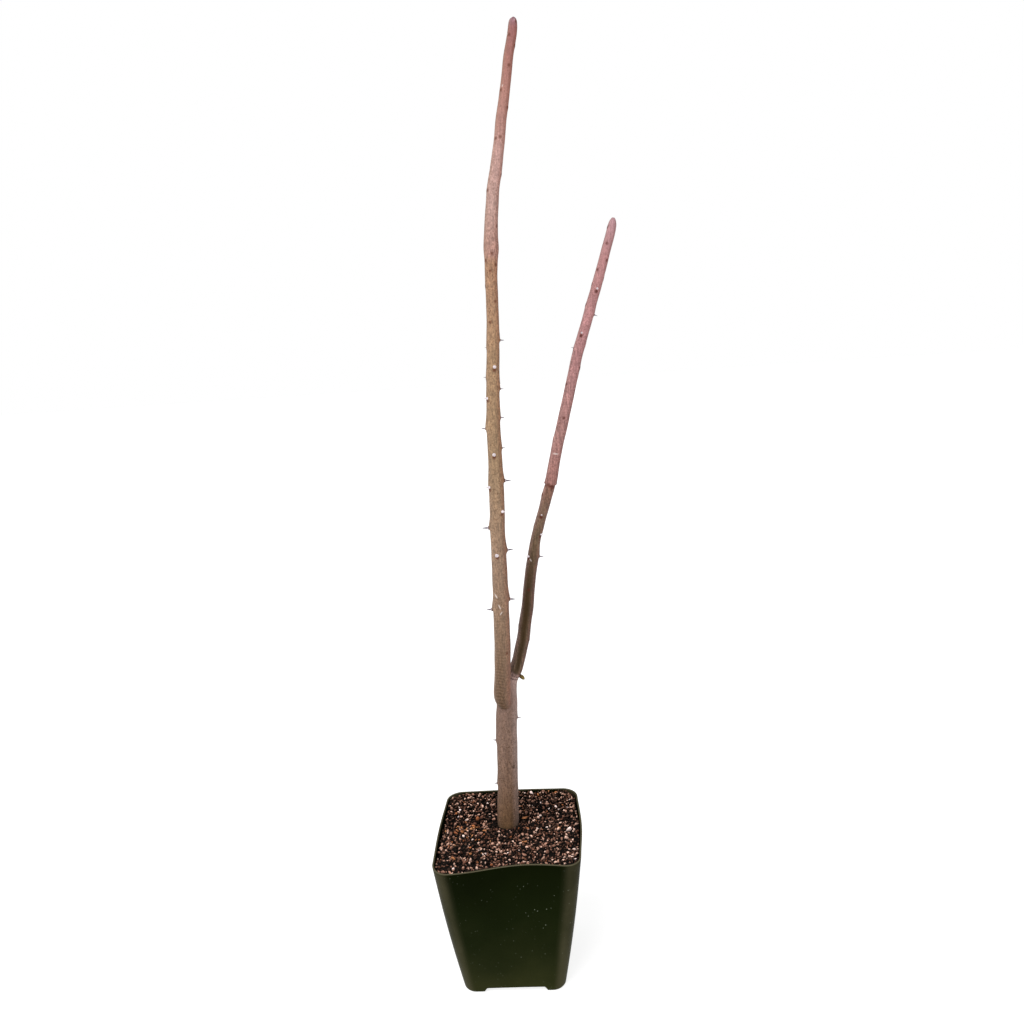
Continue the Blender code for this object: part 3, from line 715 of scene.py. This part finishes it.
# The grit is heaped against the back wall, and sinks into a dark hollow round the trunk.
TRUNK_PLACE, TRUNK_HOLLOW = (-1.7, 11.6), 7.1
HEAP_FROM, HEAP_TO, HEAP_RISE, HOLLOW_DEPTH = 4.0, 40.0, 3.9, 0.9


def unit_ball(subdivisions):
    bm = bmesh.new()
    bmesh.ops.create_icosphere(bm, subdivisions=subdivisions, radius=1.0)
    points = np.array([v.co[:] for v in bm.verts])
    faces = np.array([[v.index for v in face.verts] for face in bm.faces])
    bm.free()
    return points, faces


def inside(points, outline):
    """Which points lie inside a closed outline, by counting how often a line to the right crosses it."""
    x, y = points[:, :1], points[:, 1:2]
    ax, ay = outline[:, 0], outline[:, 1]
    bx, by = np.roll(ax, -1), np.roll(ay, -1)
    crosses = (ay > y) != (by > y)
    where = ax + (y - ay) * (bx - ax) / np.where(by == ay, 1e-9, by - ay)
    return (crosses & (x < where)).sum(1) % 2 == 1


def from_trunk(x, y):
    return math.hypot(x - TRUNK_PLACE[0], y - TRUNK_PLACE[1]) - TRUNK_HOLLOW


def scatter(draw):
    """Places and radii of the stones, the chosen and the big ones first, none far into another."""
    kept, cells = [stone[:3] for stone in CHOSEN_STONES], {}
    for x, y, size in kept:
        cells.setdefault((int(x // 5), int(y // 5)), []).append((x, y, size))
    for count, low, high in STONE_SIZES:
        places = draw.uniform(-47, 47, (count * 5, 2))
        places = places[inside(places, pot_outline(87.0, WALL + 0.7 * high))]
        sizes = draw.uniform(low, high, len(places))
        added = 0
        for (x, y), size in zip(places, sizes):
            if added == count:
                break
            if from_trunk(x, y) < 0.6 * size:
                continue
            cell = (int(x // 5), int(y // 5))
            near = [s for i in (-1, 0, 1) for j in (-1, 0, 1) for s in cells.get((cell[0] + i, cell[1] + j), ())]
            if any(math.hypot(x - a, y - b) < 0.78 * (size + r) for a, b, r in near):
                continue
            cells.setdefault(cell, []).append((x, y, size))
            kept.append((x, y, size))
            added += 1
    return np.array(kept)


stone_draw = np.random.default_rng(8)
stones = scatter(stone_draw)
print("stones:", len(stones))

# %% Shape each stone and set it on the bed
def chip(ball, size, draw):
    """A crushed stone: a ball with sides cut flat at random, stretched into a shard and turned."""
    points = ball.copy()
    for way in unit(draw.normal(size=(7, 3))):
        reach = draw.uniform(0.3, 0.75)
        points -= np.maximum(points @ way - reach, 0)[:, None] * way
    points *= size * draw.uniform((1.1, 0.85, 0.7), (1.9, 1.25, 1.0))
    turn = np.linalg.qr(draw.normal(size=(3, 3)))[0]
    if np.linalg.det(turn) < 0:
        turn[:, 0] *= -1
    return points @ turn


def bed_heights(places):
    """The height of the grit at each place: the solid model's soil, the heap and the hollow."""
    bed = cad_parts["soil"]
    tree = BVHTree.FromObject(bed, bpy.context.evaluated_depsgraph_get())
    heights = []
    for x, y in places:
        start = Vector(placed((x, y, 120)))
        hit = tree.ray_cast(bed.matrix_world.inverted() @ start, Vector((0, 0, -1)))[0]
        heap = min(max((y - HEAP_FROM) / (HEAP_TO - HEAP_FROM), 0.0), 1.0)
        hollow = HOLLOW_DEPTH * math.exp(-(max(from_trunk(x, y), 0) / 2.5) ** 2)
        heights.append((hit.z / MM if hit else 85.0) + HEAP_RISE * heap * heap * (3 - 2 * heap) - hollow)
    return np.array(heights)


def stone_kinds(stones, draw):
    """A kind for each stone by the shares, with most of the clay in its patch and dark ones at the trunk."""
    names = [name for name, _ in STONE_KINDS]
    shares = np.array([share for _, share in STONE_KINDS])
    kinds = draw.choice(len(STONE_KINDS), len(stones), p=shares / shares.sum())
    far = np.hypot(stones[:, 0] - CLAY_PATCH[0], stones[:, 1] - CLAY_PATCH[1]) / CLAY_PATCH[2]
    kinds[draw.uniform(size=len(stones)) < 0.25 * np.exp(-far ** 2)] = names.index("baked_clay")
    # Only dark scoria lies at the trunk's foot: painted shade in the hollow round the trunk.
    kinds[[from_trunk(x, y) < 2.5 for x, y, _ in stones]] = names.index("scoria")
    kinds[:len(CHOSEN_STONES)] = [names.index(stone[3]) for stone in CHOSEN_STONES]
    return kinds


def stone_objects(stones, draw):
    """The stones as one object for each kind, each stone with its own tint and with its height within itself, which
    paints its top lighter and its lower side darker.
    """
    small, large = unit_ball(2), unit_ball(3)
    heights, kinds = bed_heights(stones[:, :2]), stone_kinds(stones, draw)
    made = {}
    for kind, (name, _) in enumerate(STONE_KINDS):
        points, faces, tints, painted_light_by_height, count = [], [], [], [], 0
        for (x, y, size), height in zip(stones[kinds == kind], heights[kinds == kind]):
            ball, sides = large if size > FINE_FROM else small
            shape = chip(ball, size, draw)
            reach = shape[:, 2].max()
            lift = min(height + size * draw.uniform(-0.1, 0.6), POT_HEIGHT - 0.3 - reach)
            points.append(shape + (x, y, lift))
            faces.append(sides + count)
            tints.append(np.full(len(ball), draw.uniform()))
            # Height within the stone, for painted light on its top and painted shade on its lower side.
            painted_light_by_height.append(np.clip(0.5 + 0.5 * shape[:, 2] / reach, 0, 1))
            count += len(ball)
        made[name] = mesh_object("grit_" + name, np.vstack(points), np.vstack(faces).tolist(),
                                 {"tint": np.concatenate(tints), "painted_light_by_height": np.concatenate(painted_light_by_height)})
        made[name].data.set_sharp_from_angle(angle=math.radians(24))
    return made


grit = stone_objects(stones, stone_draw)

# %% [markdown]
# ## Bark's finish
# Young alluaudia skin is a live, waxy epidermis: matte, softly mottled along its length and flecked with
# tiny corky dots about half a millimetre wide. Its colour follows its age, so the masks that were stored on
# the mesh drive it: growth picks the colour along a ramp, the stain mask darkens the marks and paints the
# shadows under the thorns and the skirt, and the right mask paints the flanks as painted light and shade.
# The waxy bloom gives it a fairly high roughness and an index of refraction near 1.45.

# %% A bark material from a ramp of ages
def bark_material(name, ages, painted_flank_tones, stain_and_shadow_tone, groove_tone, fleck_tone, finish):
    """Bark whose finish is its roughness, shine, streak length in mm, streak depth and share of flecks."""
    painted_left_light_tone, painted_right_flank_tone = painted_flank_tones
    roughness, shine, streak_length, streak_depth, fleck_share = finish
    made, tree, shader, where = new_material(name, roughness, specular=shine)
    stain_and_shadow, pale, groove, growth, right = [
        add_node(tree, "Attribute", output="Fac", attribute_name=mask)
        for mask in ("stain_and_shadow", "pale", "groove", "growth", "right")]
    # Streaks about 0.8 mm wide, patches of 6 mm, and a grain of 0.5 mm. The grain is drawn at 1.1 mm, and
    # the corky flecks at 1 mm, so that they show.
    lengthwise = add_node(tree, "Mapping", {"Vector": where, "Scale": (1250, 1250, 1000 / streak_length)})
    streak = add_node(tree, "TexNoise", {"Vector": lengthwise, "Scale": 1.0, "Detail": 3.0, "Roughness": 0.6})
    patch = add_node(tree, "TexNoise", {"Vector": where, "Scale": 150.0, "Detail": 3.0})
    grain = add_node(tree, "TexNoise", {"Vector": where, "Scale": 900.0, "Detail": 2.0, "Roughness": 0.7})
    fleck = add_node(tree, "TexVoronoi", {"Vector": where, "Scale": 800.0})
    drift = add_node(tree, "Math", {0: patch, 1: 0.008, 2: -0.004}, operation="MULTIPLY_ADD")
    aged = add_node(tree, "Math", {0: growth, 1: drift}, operation="ADD")
    young = add_node(tree, "ValToRGB", {"Fac": aged}, stops=ages)
    # The flank that faces left is painted paler, as painted light. The right flank is painted redder and darker on
    # the shoots, as painted shade, and paler on the trunk, as painted light. Part of each flank's tone is the bark's
    # own.
    for start, end, depth, colour in ((-0.3, -1.0, 0.4, painted_left_light_tone), (0.4, 1.0, 0.5, painted_right_flank_tone)):
        share = add_node(tree, "MapRange", {0: right, 1: start, 2: end, 3: 0.0, 4: depth})
        young = add_node(tree, "Mix", {0: share, 6: young, 7: colour}, 2, data_type="RGBA")
    tone = young
    for cloud, depth in ((streak, streak_depth), (patch, 0.06), (grain, 0.24)):
        light = add_node(tree, "MapRange", {0: cloud, 1: 0.35, 2: 0.65, 3: 1 - depth, 4: 1 + depth})
        tone = add_node(tree, "VectorMath", {0: tone, "Scale": light}, operation="SCALE")
    near = add_node(tree, "MapRange", {0: fleck, 1: 0.22, 2: 0.42, 3: fleck_share, 4: 0.0})
    some = add_node(tree, "MapRange", {0: patch, 1: 0.42, 2: 0.55})
    dots = add_node(tree, "Math", {0: near, 1: some}, operation="MULTIPLY")
    tone = add_node(tree, "Mix", {0: dots, 6: tone, 7: fleck_tone}, 2, data_type="RGBA")
    # The newest skin near the tip is still smooth.
    smooth = add_node(tree, "MapRange", {0: growth, 1: 0.7, 2: 0.92, 3: 0.0, 4: 0.5})
    tone = add_node(tree, "Mix", {0: smooth, 6: tone, 7: young}, 2, data_type="RGBA")
    # The stain mask darkens the brown marks and paints the shadows under the thorns and the skirt.
    for share, colour in ((groove, groove_tone), (stain_and_shadow, stain_and_shadow_tone), (pale, "#d8cbc5")):
        tone = add_node(tree, "Mix", {0: share, 6: tone, 7: colour}, 2, data_type="RGBA")
    tree.links.new(tone, shader["Base Color"])
    wax = add_node(tree, "MapRange", {0: streak, 1: 0.3, 2: 0.7, 3: roughness - 0.08, 4: roughness + 0.1})
    tree.links.new(wax, shader["Roughness"])
    relief = add_node(tree, "Math", {0: grain, 1: streak}, operation="ADD")
    tree.links.new(add_node(tree, "Bump", {"Height": relief, "Strength": 0.6, "Distance": 0.0002}), shader["Normal"])
    return made


# Each bark's pair of flank tones: painted light on the left flank; painted shade on the shoots' right flank and
# painted light on the trunk's.
left_shoot.data.materials.append(bark_material(
    "young_waxy_skin",
    ((0.0, "#6a5040"), (0.06, "#745a48"), (0.14, "#7b624e"), (0.25, "#826956"), (0.40, "#866d53"),
     (0.55, "#8f7256"), (0.685, "#926e56"), (0.695, "#9a7468"), (0.76, "#a4857c"), (0.83, "#a8847c"),
     (0.865, "#9e746b"), (0.91, "#966a60"), (0.95, "#8e6058"), (0.985, "#885855"), (1.0, "#84606a")),
    ("#927a66", "#743e2c"), "#54260e", "#38270a", "#55361f", (0.62, 0.3, 4.0, 0.26, 0.5)))
right_shoot.data.materials.append(bark_material(
    "pink_waxy_skin",
    ((0.0, "#a58880"), (0.0035, "#a58880"), (0.0042, "#160a04"), (0.0072, "#160a04"), (0.0080, "#5a4a3a"),
     (0.08, "#544536"), (0.131, "#4a3c2e"), (0.20, "#503f33"), (0.30, "#604e3c"), (0.385, "#6b5446"),
     (0.43, "#765548"), (0.440, "#8a615a"), (0.55, "#916b66"), (0.75, "#9c7070"), (0.92, "#9c706f"),
     (1.0, "#a07c80")),
    ("#a2827c", "#6c4440"), "#481a0e", "#302004", "#5f3a2c", (0.58, 0.14, 12.0, 0.32, 0.4)))
trunk.data.materials.append(bark_material(
    "old_corky_bark",
    ((0.0, "#5a432c"), (0.34, "#5d452e"), (0.42, "#664c37"), (0.52, "#6c5343"), (0.68, "#71594c"),
     (0.80, "#6d564a"), (0.90, "#725a50"), (0.985, "#9a7f78"), (1.0, "#a58880")),
    ("#765f52", "#9c8680"), "#240c06", "#4a3222", "#46301c", (0.72, 0.25, 4.0, 0.26, 0.75)))
print("bark materials done")

# %% [markdown]
# ## Thorns and leaf
# Dead thorn is bleached, dry and hard: chalky at its blunt base, grey along the spike with a slight sheen,
# and brown where it joins the bark. The leaf is dried and leathery, olive-yellow with a brown stalk.

# %% Thorn and leaf materials
def ramp_material(name, roughness, stops, light_low, light_high, relief, under_shade_tone=None):
    """A finish whose colour runs from base to tip, with a fine grain, and, when a tone for it is given, a painted
    shade on the underside.
    """
    made, tree, shader, where = new_material(name, roughness, 1.5, 0.4)
    tip = add_node(tree, "Attribute", output="Fac", attribute_name="tip")
    tone = add_node(tree, "ValToRGB", {"Fac": tip}, stops=stops)
    if under_shade_tone is not None:
        # The underside is painted dark: painted shade under the leaf.
        under = add_node(tree, "Attribute", output="Fac", attribute_name="under")
        share = add_node(tree, "MapRange", {0: under, 1: -0.1, 2: 0.9, 3: 0.0, 4: 0.8})
        tone = add_node(tree, "Mix", {0: share, 6: tone, 7: under_shade_tone}, 2, data_type="RGBA")
    grain = add_node(tree, "TexNoise", {"Vector": where, "Scale": 2000.0, "Detail": 3.0})
    light = add_node(tree, "MapRange", {0: grain, 1: 0.3, 2: 0.7, 3: light_low, 4: light_high})
    tone = add_node(tree, "VectorMath", {0: tone, "Scale": light}, operation="SCALE")
    tree.links.new(tone, shader["Base Color"])
    tree.links.new(add_node(tree, "Bump", {"Height": grain, "Strength": 0.4, "Distance": relief}), shader["Normal"])
    return made


thorn_skin = ramp_material(
    "bleached_thorn", 0.42,
    ((0.0, "#331a10"), (0.10, "#5a3426"), (0.13, "#cfc4c8"), (0.42, "#d3c8cc"), (0.52, "#9a8f98"),
     (0.66, "#6a5f6a"), (0.85, "#554a56"), (1.0, "#4a404c")), 0.92, 1.06, 0.00005)
for spikes in (left_spikes, right_spikes, trunk_spikes):
    spikes.data.materials.append(thorn_skin)
leaf.data.materials.append(ramp_material(
    "dried_leaf_skin", 0.5,
    ((0.0, "#1c0f08"), (0.22, "#2a1608"), (0.40, "#5a440c"), (0.75, "#705914"), (1.0, "#7a6a34")),
    0.75, 1.15, 0.0001, "#1c1004"))

# %% [markdown]
# ## Moulded plastic
# Nursery pots are polypropylene, moulded against a polished tool: very dark green, satin, index about 1.49.
# Handling leaves pale dust specks and fine scratches on such a dark surface; only the specks are drawn.
# The wall is lighter towards the foot, its corners are painted paler grey-green, partly rubbed wear and
# partly a painted sheen, and the thin rim's top is a painted highlight. The reflection is kept weak, because
# a soft white studio would otherwise veil so dark a wall.

# %% The pot's plastic
DUST_MIDDLE = (24.0, -38.0, 56.0)


def pot_plastic():
    made, tree, shader, where = new_material("moulded_polypropylene", 0.34, 1.49, 0.01)
    height = add_node(tree, "SeparateXYZ", {"Vector": where}, "Z")
    cloud = add_node(tree, "TexNoise", {"Vector": where, "Scale": 45.0, "Detail": 4.0})
    drift = add_node(tree, "Math", {0: cloud, 1: 0.5, 2: -0.25}, operation="MULTIPLY_ADD")
    share = add_node(tree, "MapRange", {0: height, 1: 0.0, 2: 0.09})
    level = add_node(tree, "Math", {0: share, 1: drift}, operation="ADD")
    tone = add_node(tree, "ValToRGB", {"Fac": level}, stops=(
        (0.0, "#262812"), (0.3, "#191d0a"), (0.6, "#0f1504"), (1.0, "#080d01")))
    # The corners are painted paler grey-green: partly rubbed wear, partly a painted sheen.
    corner = add_node(tree, "Attribute", output="Fac", attribute_name="corner")
    corner_patchiness = add_node(tree, "MapRange", {0: cloud, 1: 0.3, 2: 0.7, 3: 0.3, 4: 0.7})
    corner_wear_and_sheen = add_node(tree, "Math", {0: corner, 1: corner_patchiness}, operation="MULTIPLY")
    # Dust specks about 0.5 mm wide, thickest where a hand has rubbed the front wall.
    far = add_node(tree, "VectorMath", {0: where, 1: placed(DUST_MIDDLE)}, "Value", operation="DISTANCE")
    rubbed = add_node(tree, "MapRange", {0: far, 1: 0.008, 2: 0.045, 3: 1.0, 4: 0.25})
    speck = add_node(tree, "TexVoronoi", {"Vector": where, "Scale": 420.0})
    gather = add_node(tree, "TexNoise", {"Vector": where, "Scale": 110.0, "Detail": 2.0})
    dust = add_node(tree, "MapRange", {0: speck, 1: 0.08, 2: 0.16, 3: 1.0, 4: 0.0})
    dusty = add_node(tree, "MapRange", {0: gather, 1: 0.5, 2: 0.62, 3: 0.0, 4: 0.7})
    dust = add_node(tree, "Math", {0: dust, 1: dusty}, operation="MULTIPLY")
    dust = add_node(tree, "Math", {0: dust, 1: rubbed}, operation="MULTIPLY")
    # The thin rim's top is painted paler: a painted highlight where its edge catches the light.
    rim = add_node(tree, "MapRange", {0: height, 1: 0.0905, 2: 0.0908, 3: 0.0, 4: 0.9})
    for share, colour in ((corner_wear_and_sheen, "#45412f"), (dust, "#7b8070"), (rim, "#575240")):
        tone = add_node(tree, "Mix", {0: share, 6: tone, 7: colour}, 2, data_type="RGBA")
    tree.links.new(tone, shader["Base Color"])
    tree.links.new(add_node(tree, "MapRange", {0: cloud, 1: 0.3, 2: 0.7, 3: 0.28, 4: 0.42}), shader["Roughness"])
    soft = add_node(tree, "TexNoise", {"Vector": where, "Scale": 28.0, "Detail": 2.0})
    wave = add_node(tree, "Bump", {"Height": soft, "Strength": 0.35, "Distance": 0.002})
    pebble = add_node(tree, "TexNoise", {"Vector": where, "Scale": 900.0, "Detail": 2.0})
    bump = add_node(tree, "Bump", {"Height": pebble, "Normal": wave, "Strength": 0.15, "Distance": 0.00005})
    tree.links.new(bump, shader["Normal"])
    return made


pot.data.materials.append(pot_plastic())

# %% [markdown]
# ## Stone
# Each kind of grit has its own run of colours, and the tint stored on every stone picks one from it.
# Crushed lava and pumice are full of pores about 0.3 mm wide, so they are rough and pitted; quartz is
# smoother and pale. Each stone is painted lighter on its upper side and darker on its lower side: painted
# light and shade. The fines under the stones are painted nearly black, as painted shade, because little
# light reaches them.

# %% Stone and fines materials
def stone_material(name, tones, roughness, pores):
    made, tree, shader, where = new_material(name, roughness, 1.5, 0.1)
    tint, painted_light_by_height = [add_node(tree, "Attribute", output="Fac", attribute_name=mask) for mask in ("tint", "painted_light_by_height")]
    grain = add_node(tree, "TexNoise", {"Vector": where, "Scale": 900.0, "Detail": 4.0, "Roughness": 0.7})
    pore = add_node(tree, "TexVoronoi", {"Vector": where, "Scale": 2200.0})
    stops = [(k / (len(tones) - 1), tone) for k, tone in enumerate(tones)]
    tone = add_node(tree, "ValToRGB", {"Fac": tint}, stops=stops)
    # The last step paints each stone lighter on top and nearly black below: painted light and shade.
    for cloud, start, end, low, high in ((grain, 0.3, 0.7, 0.55, 1.45), (pore, 0.05, 0.35, 1 - pores, 1.0),
                                         (painted_light_by_height, 0.5, 0.95, 0.02, 1.6)):
        light = add_node(tree, "MapRange", {0: cloud, 1: start, 2: end, 3: low, 4: high})
        tone = add_node(tree, "VectorMath", {0: tone, "Scale": light}, operation="SCALE")
    tree.links.new(tone, shader["Base Color"])
    tree.links.new(add_node(tree, "Bump", {"Height": grain, "Strength": 0.7, "Distance": 0.0003}), shader["Normal"])
    return made


STONE_TONES = {
    "scoria": (("#100a08", "#2a1d17", "#4e372c"), 0.9, 0.5),
    "brown_lava": (("#432a20", "#664537", "#8c6858"), 0.88, 0.4),
    "pumice": (("#8c6655", "#b58d7a", "#e0bba8"), 0.85, 0.35),
    "baked_clay": (("#7d4a30", "#9c623e", "#b48058"), 0.8, 0.2),
    "quartz": (("#cdb0a2", "#e2cac0", "#ecd4d0"), 0.5, 0.1),
}
for name, (tones, roughness, pores) in STONE_TONES.items():
    grit[name].data.materials.append(stone_material("crushed_" + name, tones, roughness, pores))


def fines_material():
    made, tree, shader, where = new_material("fines_in_painted_shade", 0.95, 1.45, 0.2)
    grain = add_node(tree, "TexNoise", {"Vector": where, "Scale": 1100.0, "Detail": 4.0})
    # The fines are painted nearly black: painted shade between the stones.
    tone = add_node(tree, "ValToRGB", {"Fac": grain}, stops=((0.35, "#050302"), (0.7, "#160f0a")))
    tree.links.new(tone, shader["Base Color"])
    tree.links.new(add_node(tree, "Bump", {"Height": grain, "Strength": 0.8, "Distance": 0.0005}), shader["Normal"])
    return made


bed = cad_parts["soil"]
bed.data.materials.clear()
bed.data.materials.append(fines_material())

# %% [markdown]
# ## Who rides on what
# Nothing on the plant moves by itself, so every piece rides on the one body, and each new skin hides the
# solid that it stands for.

# %% Tell the frame about the pieces
for piece, node, slot in ((left_shoot, "left_shoot", "young_bark"), (right_shoot, "right_shoot", "pink_bark"),
                          (trunk, "trunk", "old_bark"), (pot, "pot", "pot_plastic"), (leaf, "leaf", "dry_leaf")):
    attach(piece, "root")
    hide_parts(node)
for spikes, slot in ((left_spikes, "young_bark"), (right_spikes, "pink_bark"), (trunk_spikes, "old_bark")):
    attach(spikes, "root")
for stones_of_kind in grit.values():
    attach(stones_of_kind, "root")

# %% [markdown]
# ## The studio
# A plain white sweep and soft light from high on the front left, as for a catalogue picture. The sun lamp
# is as wide as a big softbox, so its shadows are soft, and it lights the floor evenly to the horizon. The
# floor is translucent paper with light behind it: it glows, so it stays white and takes only a faint
# shadow. The sky is white where the camera sees it and dimmer as a light, so that the stems keep some shape.

# %% Floor, sky and lamps
def white_floor():
    bm = bmesh.new()
    bmesh.ops.create_grid(bm, x_segments=8, y_segments=8, size=12.0)
    mesh = bpy.data.meshes.new("studio_floor")
    bm.to_mesh(mesh)
    bm.free()
    floor = bpy.data.objects.new("studio_floor", mesh)
    bpy.context.scene.collection.objects.link(floor)
    made, tree, shader, where = new_material("glowing_white_paper", 0.9, specular=0.1)
    grain = add_node(tree, "TexNoise", {"Vector": where, "Scale": 3.0, "Detail": 2.0})
    tone = add_node(tree, "ValToRGB", {"Fac": grain}, stops=((0.0, "#b4b4b4"), (1.0, "#b9b9b9")))
    tree.links.new(tone, shader["Base Color"])
    shader["Emission Color"].default_value = (1, 1, 1, 1)
    shader["Emission Strength"].default_value = 0.75
    floor.data.materials.append(made)
    return floor


def soft_lamp(name, kind, place, target, power, size, colour="#ffffff"):
    lamp = bpy.data.lights.new(name, kind)
    lamp.energy = power
    lamp.color = to_linear(colour)[:3]
    if kind == "SUN":
        lamp.angle = math.radians(size)
    else:
        lamp.size = size
    made = bpy.data.objects.new(name, lamp)
    bpy.context.scene.collection.objects.link(made)
    made.location = place
    made.rotation_euler = (Vector(target) - Vector(place)).to_track_quat("-Z", "Y").to_euler()
    return made


white_floor()
middle = (0.0, 0.0, 0.25)
soft_lamp("broad_sun", "SUN", (-1.2, -1.2, 2.2), middle, 2.3, 50.0)
soft_lamp("fill_box", "AREA", (0.4, -1.0, 0.5), middle, 4.0, 0.8)
sky = bpy.data.worlds.new("white_sky")
bpy.context.scene.world = sky
sky.use_nodes = True
sky_tree = sky.node_tree
seen = add_node(sky_tree, "LightPath", output="Is Camera Ray")
glow = add_node(sky_tree, "MapRange", {0: seen, 3: 0.5, 4: 1.0})
sky_tree.links.new(glow, sky_tree.nodes["Background"].inputs["Strength"])
sky_tree.nodes["Background"].inputs["Color"].default_value = (1, 1, 1, 1)
bpy.context.scene.view_settings.view_transform = "Standard"
print("studio ready")

# %% [markdown]
# ## The camera
# The picture was taken from a little above the pot, close enough for the pot to look foreshortened, with
# the camera rolled by a few degrees. Its place was worked out from the pot's rim, walls and feet.

# %% Camera
CAMERA_PLACE = (41.6, -457.7, 381.6)
PITCH, YAW, ROLL = math.radians(10.89), math.radians(-3.32), math.radians(-3.83)
FOCAL_PIXELS, IMAGE_PIXELS, SENSOR = 800.0, 1024.0, 36.0

forward = Vector((math.sin(YAW) * math.cos(PITCH), math.cos(YAW) * math.cos(PITCH), -math.sin(PITCH)))
level = Vector((math.cos(YAW), -math.sin(YAW), 0.0))
up = level.cross(forward)
camera_right = math.cos(ROLL) * level + math.sin(ROLL) * up
camera_up = math.cos(ROLL) * up - math.sin(ROLL) * level
lens = bpy.data.cameras.new("camera")
lens.sensor_width = SENSOR
lens.lens = FOCAL_PIXELS / IMAGE_PIXELS * SENSOR
camera = bpy.data.objects.new("camera", lens)
bpy.context.scene.collection.objects.link(camera)
axes = Matrix((camera_right, camera_up, -forward)).transposed().to_4x4()
camera.matrix_world = Matrix.Translation(placed(CAMERA_PLACE)) @ axes
bpy.context.scene.camera = camera
print("lens, mm:", round(lens.lens, 2))
